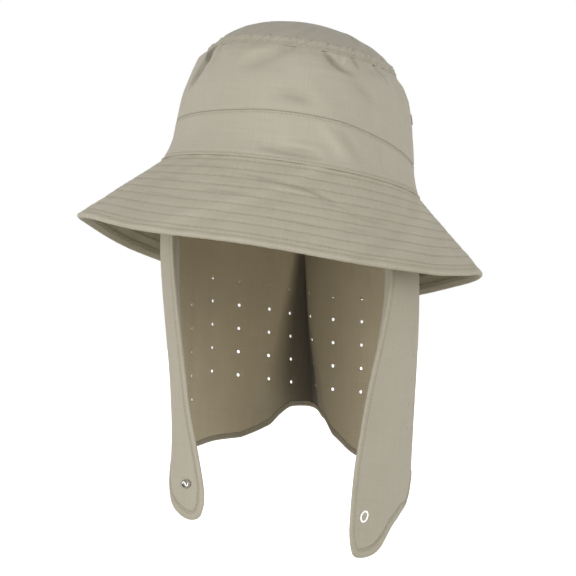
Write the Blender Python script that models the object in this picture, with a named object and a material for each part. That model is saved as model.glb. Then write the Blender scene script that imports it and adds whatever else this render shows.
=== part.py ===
"""Flap sun hat: a soft bucket hat with a perforated neck flap and two snap tabs.

Metres, +Z up. The front of the hat faces -Y and the wearer's left is +X. The origin is
the middle of the head opening, at the seam between the crown and the brim. The crown and
brim lean a little, as worn, and the neck flap hangs straight down from them.
"""

import math

import bmesh
import bpy
from mathutils import Matrix, Vector


# Driving dimensions, in metres and degrees

HEAD_HALF_WIDTH = 0.086      # head opening, middle to side
HEAD_HALF_LENGTH = 0.101     # head opening, middle to front
LEAN_SIDE = 7.5              # hat leans towards +X
LEAN_BACK = 4.5              # front of the hat is raised
LOWER_BAND_HEIGHT = 0.031
UPPER_BAND_HEIGHT = 0.0465
DOME_RISE = 0.0275           # crown top above its seam
BRIM_WIDTH = 0.070           # along the slope, seam to rim
RIM_TURN = 0.0034            # height of the turned edge at the rim
FLAP_SEAM_HALF_ANGLE = 123.0  # flap reaches this far round from the centre back
FLAP_LENGTH = 0.2385         # seam to the lowest point of a tab
FLAP_SETTLE = 0.050          # the flap leaves the oval of the seam over this length
FLAP_UPPER_LEVEL = 0.060     # depths at which the flap's path is given in FLAP_PATH
FLAP_HEM_LEVEL = 0.160
FLAP_TAB_LEVEL = 0.225
HOLE_DIAMETER = 0.0024
HOLE_ROW_PITCH = 0.0164
HOLE_COLUMN_PITCH = 0.021
HOLE_FIRST_ROW = 0.0655      # below the seam, on the back panel
HOLE_SIDE_STEP = 0.022       # how much lower the rows start on the side panels
HOLE_ROWS = 5
HOLE_BACK_COLUMNS = 4        # each side of the centre column
HOLE_SIDE_COLUMNS = 3        # each side, beyond those
PLEAT_HALF_WIDTH = 0.024     # at the hem
PLEAT_DEPTH = 0.015          # at the hem
PLEAT_START = 0.018          # below the seam
PLEAT_STATION = -0.05        # the pleat falls a little to the wearer's right
SNAP_ABOVE_TIP = 0.0265      # above the lowest point of a tab
SNAP_FROM_EDGE = 0.0145      # in from the front edge of the tab
SNAP_RADIUS = 0.0047
SNAP_RING_BORE = 0.0033
SNAP_SOCKET_BORE = 0.0021
SNAP_HEIGHT = 0.0015
STUD_RADIUS = 0.0019
STUD_HEIGHT = 0.0028
EYELET_RADIUS = 0.0040
EYELET_BARREL_RADIUS = 0.0025
EYELET_BORE = 0.0017
EYELET_HEIGHT = 0.0006
EYELET_ABOVE_BAND_SEAM = 0.0215
EYELET_ANGLE = 6.0           # back from the side of the hat

CROWN_CLOTH = 0.0014
BRIM_CLOTH = 0.0015
FACING_CLOTH = 0.0011
FLAP_CLOTH = 0.0014
GAP = 0.0003                 # between neighbouring pieces
SNAP_GAP = 0.0008            # under a flat snap on the curved cloth

RINGS_ROUND = 40             # faces round the crown and brim
BRIM_ROWS = (1.0, 0.67, 0.33, 0.0)  # rows of the brim's mesh, as shares of the way to the rim
TURNED_SIDES = 12            # faces round a snap or an eyelet
HOLE_SIDES = 8

TOP_SEAM = LOWER_BAND_HEIGHT + UPPER_BAND_HEIGHT
CROWN_HEIGHT = TOP_SEAM + DOME_RISE
SNAP_DEPTH = FLAP_LENGTH - SNAP_ABOVE_TIP
FLAP_HALF_SEAM = 0.212       # cloth from the centre back to a front edge


# Tables: each row is one section, dent or station, with lengths as shares of a size above

# (height / TOP_SEAM, oval size / head oval, sideways shift / HEAD_HALF_WIDTH)
CROWN_SECTIONS = [
    (0.00, 1.000, 0.000),
    (0.10, 0.968, -0.002),
    (0.20, 0.943, -0.004),
    (0.40, 0.922, -0.012),
    (0.62, 0.893, -0.024),
    (0.81, 0.849, -0.026),
    (0.92, 0.808, -0.036),
    (1.00, 0.755, -0.046),
]

# (angle, height of the seam between the bands / LOWER_BAND_HEIGHT), which dips at the side
BAND_SEAM = [
    (0, 0.69),
    (30, 0.84),
    (60, 0.95),
    (120, 0.97),
    (180, 0.91),
    (210, 0.90),
    (240, 0.95),
    (270, 1.03),
    (300, 1.01),
    (325, 0.86),
    (345, 0.73),
]

# (distance from the middle / top seam oval, rise / DOME_RISE)
DOME_SECTIONS = [
    (1.00, 0.00),
    (0.94, 0.21),
    (0.86, 0.39),
    (0.73, 0.59),
    (0.55, 0.78),
    (0.30, 0.94),
    (0.00, 1.00),
]

# (angle, height / CROWN_HEIGHT, half spread in degrees, half height / CROWN_HEIGHT,
#  depth / CROWN_HEIGHT), angle 0 at +X, 90 at the centre back, 270 at the front
CROWN_DENTS = [
    (300, 0.67, 13, 0.065, 0.030),
    (322, 0.69, 9, 0.060, 0.026),
    (205, 0.76, 20, 0.090, 0.026),
    (262, 0.60, 16, 0.080, 0.016),
    (274, 0.42, 15, 0.070, 0.014),
    (338, 0.46, 7, 0.160, 0.012),
    (352, 0.44, 6, 0.140, -0.010),
    (269, 0.11, 16, 0.060, 0.016),
    (312, 0.17, 12, 0.070, -0.010),
    (60, 0.62, 14, 0.080, 0.024),
    (128, 0.66, 12, 0.080, 0.022),
    (95, 0.40, 18, 0.120, 0.018),
    (165, 0.45, 10, 0.140, 0.014),
]

# (angle, reach / BRIM_WIDTH, drop / BRIM_WIDTH) of the rim, from the crown seam
BRIM_STATIONS = [
    (0, 0.70, 0.63),
    (30, 0.70, 0.66),
    (60, 0.56, 0.84),
    (90, 0.48, 0.89),
    (120, 0.52, 0.86),
    (150, 0.645, 0.74),
    (180, 0.72, 0.615),
    (210, 0.72, 0.665),
    (240, 0.685, 0.795),
    (270, 0.695, 0.825),
    (300, 0.63, 0.84),
    (330, 0.60, 0.78),
    (345, 0.655, 0.705),
]

# (station, x and y under the brim, x and y at the hem, x and y at the tabs), with station
# -1 and 1 at the front edges, 0 at the centre back, x / HEAD_HALF_WIDTH and
# y / HEAD_HALF_LENGTH
FLAP_PATH = [
    (-1.00, -0.837, -0.446, -0.701, -0.505, -0.570, -0.515),
    (-0.94, -0.919, -0.317, -0.808, -0.421, -0.700, -0.460),
    (-0.84, -1.006, -0.119, -0.896, -0.226, -0.872, -0.307),
    (-0.72, -1.023, 0.129, -0.914, 0.025, -0.945, -0.069),
    (-0.60, -0.988, 0.376, -0.920, 0.276, -0.945, 0.248),
    (-0.50, -0.919, 0.584, -0.888, 0.484, -0.900, 0.495),
    (-0.40, -0.785, 0.762, -0.773, 0.666, -0.779, 0.703),
    (-0.30, -0.576, 0.871, -0.578, 0.806, -0.581, 0.812),
    (-0.20, -0.331, 0.936, -0.347, 0.890, -0.360, 0.861),
    (-0.05, -0.105, 0.965, -0.111, 0.920, -0.116, 0.886),
    (0.10, 0.198, 0.965, 0.202, 0.888, 0.203, 0.842),
    (0.20, 0.448, 0.916, 0.444, 0.825, 0.442, 0.782),
    (0.30, 0.674, 0.827, 0.672, 0.735, 0.670, 0.693),
    (0.40, 0.840, 0.678, 0.838, 0.585, 0.825, 0.545),
    (0.50, 0.930, 0.495, 0.905, 0.400, 0.880, 0.366),
    (0.60, 0.972, 0.287, 0.915, 0.190, 0.880, 0.158),
    (0.72, 0.985, 0.050, 0.890, -0.045, 0.845, -0.079),
    (0.84, 0.957, -0.178, 0.815, -0.270, 0.745, -0.307),
    (0.94, 0.889, -0.366, 0.695, -0.430, 0.603, -0.455),
    (1.00, 0.837, -0.465, 0.622, -0.545, 0.541, -0.564),
]

# (station from the pleat, hem below the seam / FLAP_LENGTH on the -X side and on the +X side)
FLAP_HEM = [
    (0.000, 0.616, 0.616),
    (0.060, 0.624, 0.624),
    (0.110, 0.651, 0.650),
    (0.150, 0.682, 0.686),
    (0.200, 0.709, 0.724),
    (0.250, 0.731, 0.744),
    (0.350, 0.750, 0.757),
    (0.450, 0.776, 0.766),
    (0.520, 0.788, 0.771),
    (0.600, 0.788, 0.775),
    (0.640, 0.785, 0.779),
    (0.660, 0.784, 0.822),
    (0.695, 0.783, 0.848),
    (0.712, 0.822, 0.856),
    (0.750, 0.868, 0.880),
    (0.790, 0.898, 0.910),
    (0.835, 0.943, 0.957),
    (0.875, 0.968, 0.982),
    (0.912, 0.982, 0.996),
    (0.953, 0.985, 1.000),
    (0.975, 0.974, 0.992),
    (0.990, 0.945, 0.965),
    (1.000, 0.905, 0.930),
]

# Stations of the tabs' mesh columns, from the side to the front edge
TAB_COLUMNS = [0.695, 0.712, 0.750, 0.790, 0.835, 0.875, 0.912, 0.953, 0.980, 1.000]


# The lean of the worn hat, and smooth readings of the tables

LEAN = (Matrix.Rotation(math.radians(LEAN_SIDE), 3, "Y")
        @ Matrix.Rotation(math.radians(-LEAN_BACK), 3, "X"))


def clear_scene():
    for item in list(bpy.data.objects):
        bpy.data.objects.remove(item, do_unlink=True)


def smooth_step(value):
    value = min(max(value, 0.0), 1.0)
    return value * value * (3.0 - 2.0 * value)


def bell(offset, spread):
    """One at the middle, falling to zero at the spread."""
    share = min(abs(offset) / spread, 1.0)
    return (1.0 - share * share) ** 2


def spline(before, start, end, after, share):
    """A smooth curve through start and end (Catmull-Rom)."""
    return 0.5 * (2.0 * start + (end - before) * share
                  + (2.0 * before - 5.0 * start + 4.0 * end - after) * share ** 2
                  + (3.0 * start - before - 3.0 * end + after) * share ** 3)


def read_table(table, key, column):
    """Reads one column of an open table, straight between rows."""
    for low, high in zip(table, table[1:]):
        first, last = sorted((low[0], high[0]))
        if first <= key <= last:
            share = (key - low[0]) / (high[0] - low[0])
            return low[column] + (high[column] - low[column]) * share
    ends = sorted((table[0], table[-1]), key=lambda row: abs(row[0] - key))
    return ends[0][column]


def read_curve(table, key, column):
    """Reads one column of an open table as a smooth curve through its rows."""
    key = min(max(key, table[0][0]), table[-1][0])
    for index in range(len(table) - 1):
        if key <= table[index + 1][0]:
            break
    rows = [table[max(index - 1, 0)], table[index], table[index + 1],
            table[min(index + 2, len(table) - 1)]]
    share = (key - rows[1][0]) / (rows[2][0] - rows[1][0])
    return spline(*[row[column] for row in rows], share)


def read_round(table, angle, column):
    """Reads one column of a table whose rows go once round the hat."""
    angle = angle % 360.0
    count = len(table)
    index = max(place for place in range(count) if table[place][0] <= angle)
    rows = [table[(index + step) % count] for step in (-1, 0, 1, 2)]
    width = (rows[2][0] - rows[1][0]) % 360.0
    share = (angle - rows[1][0]) / width
    return spline(*[row[column] for row in rows], share)


# Surfaces of the hat, as points in the hat's own leaning frame

def oval(angle, size=1.0):
    turn = math.radians(angle)
    return Vector((HEAD_HALF_WIDTH * size * math.cos(turn),
                   HEAD_HALF_LENGTH * size * math.sin(turn), 0.0))


def outward(angle):
    """Level direction away from the head oval at this angle."""
    turn = math.radians(angle)
    return Vector((math.cos(turn) / HEAD_HALF_WIDTH,
                   math.sin(turn) / HEAD_HALF_LENGTH, 0.0)).normalized()


def dent(angle, height):
    """How far the crown's cloth is pushed in here."""
    depth = 0.0
    for centre, level, spread, tall, deep in CROWN_DENTS:
        turn = (angle - centre + 180.0) % 360.0 - 180.0
        rise = height - level * CROWN_HEIGHT
        depth += deep * CROWN_HEIGHT * bell(turn, spread) * bell(rise, tall * CROWN_HEIGHT)
    return depth


def crown_point(angle, height):
    """A point of the crown's side, from the brim seam to the top seam."""
    share = height / TOP_SEAM
    point = oval(angle, read_curve(CROWN_SECTIONS, share, 1))
    point.x += read_curve(CROWN_SECTIONS, share, 2) * HEAD_HALF_WIDTH
    point.z = height
    return point - outward(angle) * dent(angle, height)


def dome_point(angle, distance):
    """A point of the crown's top, at this share of the way out to the top seam."""
    edge = crown_point(angle, TOP_SEAM)
    middle = Vector((CROWN_SECTIONS[-1][2] * HEAD_HALF_WIDTH, 0.0, TOP_SEAM))
    point = middle + (edge - middle) * distance
    rise = read_table(DOME_SECTIONS, distance, 1) * DOME_RISE
    height = TOP_SEAM + rise
    inward = dent(angle, height) * smooth_step(distance * 2.0)
    point.z = height - inward * 0.5
    return point - outward(angle) * inward * 0.5


def brim_slope(angle):
    """Direction down the brim at this angle, with the brim's width there."""
    reach = read_round(BRIM_STATIONS, angle, 1) * BRIM_WIDTH
    drop = read_round(BRIM_STATIONS, angle, 2) * BRIM_WIDTH
    slope = outward(angle) * reach - Vector((0.0, 0.0, drop))
    return slope.normalized(), slope.length


def brim_point(angle, along, below=0.0):
    """A point of the brim: metres down the slope, and metres under its upper face."""
    slope, _ = brim_slope(angle)
    under = outward(angle) * slope.z - Vector((0.0, 0.0, slope.dot(outward(angle))))
    return oval(angle) + Vector((0.0, 0.0, -GAP)) + slope * along + under * below


def seam_angle(station):
    return 90.0 - station * FLAP_SEAM_HALF_ANGLE


def flap_seam_point(station):
    """Where the flap's outer face starts, just inside the brim."""
    angle = seam_angle(station)
    inset = BRIM_CLOTH + 2.0 * GAP
    return LEAN @ (oval(angle) - outward(angle) * inset)


def pleat(station, depth):
    """How far the centre back stands out behind the wearer."""
    grown = (depth - PLEAT_START) / (FLAP_HEM[0][1] * FLAP_LENGTH - PLEAT_START)
    if grown <= 0.0:
        return 0.0
    half_width = PLEAT_HALF_WIDTH * (0.2 + 0.8 * min(grown, 1.0))
    across = abs(station - PLEAT_STATION) * FLAP_HALF_SEAM / half_width
    return PLEAT_DEPTH * min(grown, 1.2) ** 0.6 * (1.0 - smooth_step((across - 0.45) / 0.55))


def flap_point(station, depth):
    """A point of the flap's outer face: it leaves the seam and hangs straight down."""
    top = flap_seam_point(station)
    depths = (FLAP_UPPER_LEVEL, FLAP_HEM_LEVEL, FLAP_TAB_LEVEL)
    levels = [(level, read_curve(FLAP_PATH, station, 2 * place + 1) * HEAD_HALF_WIDTH,
               read_curve(FLAP_PATH, station, 2 * place + 2) * HEAD_HALF_LENGTH)
              for place, level in enumerate(depths)]
    hung = Vector((read_curve(levels, depth, 1), read_curve(levels, depth, 2), 0.0))
    point = top.lerp(hung, smooth_step(depth / FLAP_SETTLE))
    point.y += pleat(station, depth)
    point.z = top.z - depth
    return point


def flap_frame(station, depth):
    """Place and turn of a snap on the flap, its +Z away from the head."""
    step = 0.004
    middle = flap_point(station, depth)
    across = (flap_point(station + step, depth) - flap_point(station - step, depth)).normalized()
    down = (flap_point(station, depth + step) - flap_point(station, depth - step)).normalized()
    away = across.cross(down).normalized()
    if away.dot(Vector((middle.x, middle.y, 0.0))) < 0.0:
        away.negate()
    side = down.cross(away).normalized()
    turn = Matrix((side, away.cross(side), away)).transposed()
    return middle, turn


def crown_frame(angle, height):
    """Place and turn of an eyelet on the crown, its +Z away from the head."""
    step = 0.5
    lift = 0.001
    middle = LEAN @ crown_point(angle, height)
    across = LEAN @ (crown_point(angle + step, height) - crown_point(angle - step, height))
    up = LEAN @ (crown_point(angle, height + lift) - crown_point(angle, height - lift))
    away = across.cross(up).normalized()
    side = up.cross(away).normalized()
    turn = Matrix((side, away.cross(side), away)).transposed()
    return middle, turn


# Materials

def make_material(name, colour, roughness, metallic=0.0):
    material = bpy.data.materials.new(name)
    material.use_nodes = True
    shader = material.node_tree.nodes["Principled BSDF"]
    shader.inputs["Base Color"].default_value = (*colour, 1.0)
    shader.inputs["Roughness"].default_value = roughness
    shader.inputs["Metallic"].default_value = metallic
    material.diffuse_color = (*colour, 1.0)
    return material


# Building blocks

def add_object(name, mesh, material):
    item = bpy.data.objects.new(name, mesh)
    bpy.context.scene.collection.objects.link(item)
    mesh.materials.append(material)
    return item


def thicken(item, thickness):
    """Gives an open sheet its thickness, inwards from its outer face."""
    solidify = item.modifiers.new("cloth thickness", "SOLIDIFY")
    solidify.thickness = thickness
    solidify.offset = -1.0
    solidify.use_rim = True


def mesh_from(name, builder):
    mesh = bpy.data.meshes.new(name)
    builder.to_mesh(mesh)
    builder.free()
    mesh.shade_smooth()
    return mesh


def ring_sheet(name, rows, material, thickness, pole=None):
    """A cloth ring of rows that each go once round, closed at the top if it has a pole."""
    builder = bmesh.new()
    grid = [[builder.verts.new(point) for point in row] for row in rows]
    for lower, upper in zip(grid, grid[1:]):
        for index in range(len(lower)):
            after = (index + 1) % len(lower)
            builder.faces.new((lower[index], lower[after], upper[after], upper[index]))
    if pole is not None:
        tip = builder.verts.new(pole)
        last = grid[-1]
        for index in range(len(last)):
            builder.faces.new((last[index], last[(index + 1) % len(last)], tip))
    item = add_object(name, mesh_from(name, builder), material)
    thicken(item, thickness)
    return item


def turned_piece(name, profile, middle, turn, material):
    """A turned ring: its profile is a closed outline of (radius, height)."""
    builder = bmesh.new()
    rings = []
    for side in range(TURNED_SIDES):
        angle = 2.0 * math.pi * side / TURNED_SIDES
        rings.append([builder.verts.new((radius * math.cos(angle),
                                         radius * math.sin(angle), height))
                      for radius, height in profile])
    for side, ring in enumerate(rings):
        after = rings[(side + 1) % TURNED_SIDES]
        for index in range(len(ring)):
            follow = (index + 1) % len(ring)
            builder.faces.new((ring[index], after[index], after[follow], ring[follow]))
    bmesh.ops.recalc_face_normals(builder, faces=builder.faces)
    mesh = mesh_from(name, builder)
    mesh.set_sharp_from_angle(angle=math.radians(40))
    item = add_object(name, mesh, material)
    item.location = middle
    item.rotation_euler = turn.to_euler()
    return item


def cutter(name, radius, length, middle, turn):
    """A plain cylinder that only cuts."""
    builder = bmesh.new()
    bmesh.ops.create_cone(builder, cap_ends=True, segments=TURNED_SIDES, radius1=radius,
                          radius2=radius, depth=length)
    item = bpy.data.objects.new(name, mesh_from(name, builder))
    bpy.context.scene.collection.objects.link(item)
    item.location = middle
    item.rotation_euler = turn.to_euler()
    item.hide_render = True
    item.display_type = "WIRE"
    return item


def angles_round():
    return [360.0 * index / RINGS_ROUND for index in range(RINGS_ROUND)]


# The crown

def band_seam(angle):
    return read_round(BAND_SEAM, angle, 1) * LOWER_BAND_HEIGHT


def build_lower_band(material):
    rows = [[LEAN @ crown_point(angle, (band_seam(angle) - GAP) * share)
             for angle in angles_round()]
            for share in (0.0, 0.25, 0.5, 0.75, 1.0)]
    return ring_sheet("crown_lower_band", rows, material, CROWN_CLOTH)


def build_upper_band(material):
    rows = []
    for share in (0.0, 0.2, 0.4, 0.6, 0.8, 0.9, 1.0):
        row = []
        for angle in angles_round():
            bottom = band_seam(angle)
            row.append(LEAN @ crown_point(angle, bottom + (TOP_SEAM - GAP - bottom) * share))
        rows.append(row)
    return ring_sheet("crown_upper_band", rows, material, CROWN_CLOTH)


def build_crown_top(material):
    distances = (1.0, 0.97, 0.94, 0.86, 0.73, 0.55, 0.30)
    rows = [[LEAN @ dome_point(angle, distance) for angle in angles_round()]
            for distance in distances]
    return ring_sheet("crown_top", rows, material, CROWN_CLOTH, LEAN @ dome_point(0.0, 0.0))


def eyelet_places():
    height = LOWER_BAND_HEIGHT + EYELET_ABOVE_BAND_SEAM
    return (("vent_eyelet_left", EYELET_ANGLE, height),
            ("vent_eyelet_right", 180.0 - EYELET_ANGLE, height))


def build_eyelets(band, material):
    """Turned eyelets whose barrels pass through holes in the upper band."""
    inner = -CROWN_CLOTH - GAP - EYELET_HEIGHT
    profile = [(EYELET_BORE, inner),
               (EYELET_BARREL_RADIUS, inner),
               (EYELET_BARREL_RADIUS, GAP),
               (EYELET_RADIUS, GAP),
               (EYELET_RADIUS * 0.92, GAP + EYELET_HEIGHT * 0.7),
               (EYELET_RADIUS * 0.75, GAP + EYELET_HEIGHT),
               (EYELET_BORE, GAP + EYELET_HEIGHT * 0.6)]
    for name, angle, height in eyelet_places():
        middle, turn = crown_frame(angle, height)
        hole = cutter(name + "_hole", EYELET_BARREL_RADIUS + GAP, 0.012, middle, turn)
        cut = band.modifiers.new("vent hole", "BOOLEAN")
        cut.operation = "DIFFERENCE"
        cut.solver = "EXACT"
        cut.object = hole
        turned_piece(name, profile, middle, turn, material)


# The brim

def build_brim(material):
    """The brim's upper cloth, turned down over the edge of the facing at the rim."""
    rows = []
    for along in BRIM_ROWS:
        rows.append([LEAN @ brim_point(angle, along * brim_slope(angle)[1])
                     for angle in angles_round()])
    turned = [LEAN @ brim_point(angle, brim_slope(angle)[1], RIM_TURN)
              for angle in angles_round()]
    rows.insert(0, turned)
    return ring_sheet("brim", rows, material, BRIM_CLOTH)


def build_facing(material):
    """The under cloth, which ends just inside the turned rim."""
    below = BRIM_CLOTH + GAP
    rows = []
    for along in BRIM_ROWS:
        row = []
        for angle in angles_round():
            width = brim_slope(angle)[1] - BRIM_CLOTH - 2.0 * GAP
            start = below + FACING_CLOTH
            row.append(LEAN @ brim_point(angle, start + (width - start) * along, below))
        rows.append(row)
    return ring_sheet("brim_facing", rows, material, FACING_CLOTH)


# The neck flap

def hole_columns():
    """Stations of the columns of holes, from one side of the flap to the other."""
    reach = HOLE_BACK_COLUMNS + HOLE_SIDE_COLUMNS
    return [index * HOLE_COLUMN_PITCH / FLAP_HALF_SEAM for index in range(-reach, reach + 1)]


def hole_half_cell():
    return HOLE_DIAMETER * 0.85


def row_shift(station):
    """How much lower the rows of holes lie here than on the back panel."""
    back_edge = HOLE_BACK_COLUMNS * HOLE_COLUMN_PITCH / FLAP_HALF_SEAM
    cell = hole_half_cell() / FLAP_HALF_SEAM
    pitch = HOLE_COLUMN_PITCH / FLAP_HALF_SEAM
    travel = (abs(station) - back_edge - cell) / (pitch - 2.0 * cell)
    return HOLE_SIDE_STEP * smooth_step(travel)


def hem_depth(station):
    from_pleat = abs(station - PLEAT_STATION * (1.0 - abs(station)))
    side = 1 if station < PLEAT_STATION else 2
    return read_curve(FLAP_HEM, from_pleat, side) * FLAP_LENGTH


def flap_columns():
    """Stations of the mesh's columns, and which of its strips hold holes."""
    cell = hole_half_cell() / FLAP_HALF_SEAM
    stations = []
    holed = set()
    for column in hole_columns():
        stations.extend((column - cell, column + cell))
        holed.add(round(column - cell, 9))
    outer = stations[-1]
    tab = [station for station in TAB_COLUMNS if station > outer + cell]
    pleat_edge = 2.0 * PLEAT_HALF_WIDTH / FLAP_HALF_SEAM
    gaps = [(left + right) * 0.5 for left, right in zip(stations[1::2], stations[2::2])]
    between = [middle for middle in gaps if abs(middle) < pleat_edge]
    stations = [-station for station in reversed(tab)] + stations + between + tab
    return sorted(stations), holed


def flap_rows(station):
    """Depths of the mesh's rows at a station: above, at and below the holes."""
    cell = hole_half_cell()
    shift = row_shift(station)
    first = HOLE_FIRST_ROW + shift - cell
    depths = [first * share for share in (0.0, 0.25, 0.5, 0.75)]
    for row in range(HOLE_ROWS):
        middle = HOLE_FIRST_ROW + shift + row * HOLE_ROW_PITCH
        depths.extend((middle - cell, middle + cell))
    last = depths[-1]
    hem = hem_depth(station)
    depths.extend(last + (hem - last) * share for share in (0.25, 0.5, 0.75, 1.0))
    return depths


def cell_with_hole(builder, corners, station, depth):
    """Fills one cell of the flap's mesh round a cut hole."""
    radius = HOLE_DIAMETER * 0.5
    ring = []
    for side in range(HOLE_SIDES):
        angle = 2.0 * math.pi * side / HOLE_SIDES
        shift = radius * math.cos(angle) / FLAP_HALF_SEAM
        ring.append(builder.verts.new(flap_point(station + shift,
                                                 depth - radius * math.sin(angle))))
    quarter = HOLE_SIDES // 4
    for index, corner in enumerate(corners):
        start = index * quarter
        for step in range(quarter):
            builder.faces.new((corner, ring[(start + step) % HOLE_SIDES],
                               ring[(start + step + 1) % HOLE_SIDES]))
        after = corners[(index + 1) % 4]
        builder.faces.new((after, corner, ring[(start + quarter) % HOLE_SIDES]))


def build_flap(material):
    """The flap as one sheet, with every hole cut through it."""
    builder = bmesh.new()
    stations, holed = flap_columns()
    rows = [flap_rows(station) for station in stations]
    grid = [[builder.verts.new(flap_point(station, depth)) for depth in depths]
            for station, depths in zip(stations, rows)]
    first_hole_row = 4
    for column in range(len(stations) - 1):
        has_holes = round(stations[column], 9) in holed
        for row in range(len(rows[0]) - 1):
            step = row - first_hole_row
            corners = (grid[column + 1][row], grid[column][row],
                       grid[column][row + 1], grid[column + 1][row + 1])
            if has_holes and step >= 0 and step % 2 == 0 and step // 2 < HOLE_ROWS:
                station = (stations[column] + stations[column + 1]) * 0.5
                depth = (rows[column][row] + rows[column][row + 1]) * 0.5
                cell_with_hole(builder, corners, station, depth)
            else:
                builder.faces.new(corners[::-1])
    item = add_object("neck_flap", mesh_from("neck_flap", builder), material)
    thicken(item, FLAP_CLOTH)
    return item


def build_snaps(material):
    """A snap on each tab: the piece on its outer face and its partner on the inner face."""
    station = 1.0 - SNAP_FROM_EDGE / FLAP_HALF_SEAM
    under = -FLAP_CLOTH - SNAP_GAP
    socket = [(SNAP_SOCKET_BORE, SNAP_GAP),
              (SNAP_RADIUS, SNAP_GAP),
              (SNAP_RADIUS, SNAP_GAP + SNAP_HEIGHT * 0.45),
              (SNAP_RADIUS * 0.8, SNAP_GAP + SNAP_HEIGHT),
              (SNAP_SOCKET_BORE * 1.25, SNAP_GAP + SNAP_HEIGHT),
              (SNAP_SOCKET_BORE, SNAP_GAP + SNAP_HEIGHT * 0.75)]
    ring = [(SNAP_RING_BORE, SNAP_GAP),
            (SNAP_RADIUS, SNAP_GAP),
            (SNAP_RADIUS, SNAP_GAP + SNAP_HEIGHT * 0.35),
            (SNAP_RADIUS * 0.9, SNAP_GAP + SNAP_HEIGHT * 0.65),
            (SNAP_RING_BORE * 1.08, SNAP_GAP + SNAP_HEIGHT * 0.65),
            (SNAP_RING_BORE, SNAP_GAP + SNAP_HEIGHT * 0.35)]
    inner_ring = [(radius, under - (height - SNAP_GAP)) for radius, height in ring]
    stud = [(STUD_RADIUS * 0.4, under),
            (SNAP_RADIUS, under),
            (SNAP_RADIUS, under - SNAP_HEIGHT * 0.4),
            (STUD_RADIUS, under - SNAP_HEIGHT * 0.6),
            (STUD_RADIUS * 1.12, under - STUD_HEIGHT * 0.8),
            (STUD_RADIUS * 0.9, under - STUD_HEIGHT),
            (STUD_RADIUS * 0.4, under - STUD_HEIGHT)]
    for side, outer_name, outer, inner_name, inner in (
            (-1.0, "snap_socket", socket, "snap_socket_back", inner_ring),
            (1.0, "snap_ring", ring, "snap_stud", stud)):
        middle, turn = flap_frame(side * station, SNAP_DEPTH)
        turned_piece(outer_name, outer, middle, turn, material)
        turned_piece(inner_name, inner, middle, turn, material)


def build_hat():
    clear_scene()
    crown_cloth = make_material("khaki crown cloth", (0.47, 0.42, 0.34), 0.85)
    brim_cloth = make_material("khaki brim cloth", (0.42, 0.38, 0.31), 0.85)
    facing_cloth = make_material("olive brim facing", (0.16, 0.15, 0.09), 0.9)
    flap_cloth = make_material("khaki flap cloth", (0.40, 0.36, 0.28), 0.85)
    metal = make_material("nickel plated brass", (0.75, 0.74, 0.70), 0.3, 1.0)
    dark_metal = make_material("dark plated brass", (0.12, 0.11, 0.09), 0.4, 1.0)
    build_crown_top(crown_cloth)
    band = build_upper_band(crown_cloth)
    build_eyelets(band, dark_metal)
    build_lower_band(crown_cloth)
    build_brim(brim_cloth)
    build_facing(facing_cloth)
    build_flap(flap_cloth)
    build_snaps(metal)


build_hat()
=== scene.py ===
"""The look of the flap sun hat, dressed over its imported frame.

Metres, +Z up, in the frame of the solids: the front of the hat faces -Y and the wearer's
left is +X. Each cloth panel is made again at a fine resolution from the same sizes and
tables as its solid, with its seams, creases, hems and stitching.
"""

import math

import bmesh
import bpy
import numpy as np
from mathutils import Matrix, Vector


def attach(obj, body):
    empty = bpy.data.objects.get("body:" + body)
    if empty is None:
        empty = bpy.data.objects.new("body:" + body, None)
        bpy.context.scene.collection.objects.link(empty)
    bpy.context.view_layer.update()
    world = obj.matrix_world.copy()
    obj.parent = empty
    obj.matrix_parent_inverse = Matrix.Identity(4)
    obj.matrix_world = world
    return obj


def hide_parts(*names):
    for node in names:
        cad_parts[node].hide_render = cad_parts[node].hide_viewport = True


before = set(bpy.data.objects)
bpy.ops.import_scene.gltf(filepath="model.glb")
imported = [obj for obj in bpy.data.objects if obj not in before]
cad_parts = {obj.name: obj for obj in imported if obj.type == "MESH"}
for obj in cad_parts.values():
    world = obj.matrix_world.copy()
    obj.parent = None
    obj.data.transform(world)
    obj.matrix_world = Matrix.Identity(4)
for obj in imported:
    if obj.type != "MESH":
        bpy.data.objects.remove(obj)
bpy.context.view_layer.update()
bpy.ops.object.select_all(action="DESELECT")


# Sizes of the solids, in metres and degrees

HEAD_HALF_WIDTH = 0.086
HEAD_HALF_LENGTH = 0.101
LEAN_SIDE = 7.5
LEAN_BACK = 4.5
LOWER_BAND_HEIGHT = 0.031
UPPER_BAND_HEIGHT = 0.0465
DOME_RISE = 0.0275
BRIM_WIDTH = 0.070
FLAP_SEAM_HALF_ANGLE = 123.0
FLAP_LENGTH = 0.2385
FLAP_SETTLE = 0.050
FLAP_LEVELS = (0.060, 0.160, 0.225)
FLAP_HALF_SEAM = 0.212
HOLE_DIAMETER = 0.0024
HOLE_ROW_PITCH = 0.0164
HOLE_COLUMN_PITCH = 0.021
HOLE_FIRST_ROW = 0.0655
HOLE_SIDE_STEP = 0.022
HOLE_ROWS = 5
HOLE_BACK_COLUMNS = 4
HOLE_SIDE_COLUMNS = 3
PLEAT_START = 0.018
PLEAT_STATION = -0.05
SNAP_DEPTH = 0.212
SNAP_FROM_EDGE = 0.0145
EYELET_ABOVE_BAND_SEAM = 0.0215
EYELET_ANGLE = 6.0
GAP = 0.0003
TOP_SEAM = LOWER_BAND_HEIGHT + UPPER_BAND_HEIGHT
CROWN_HEIGHT = TOP_SEAM + DOME_RISE

# Sizes of the sewing, in metres

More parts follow.
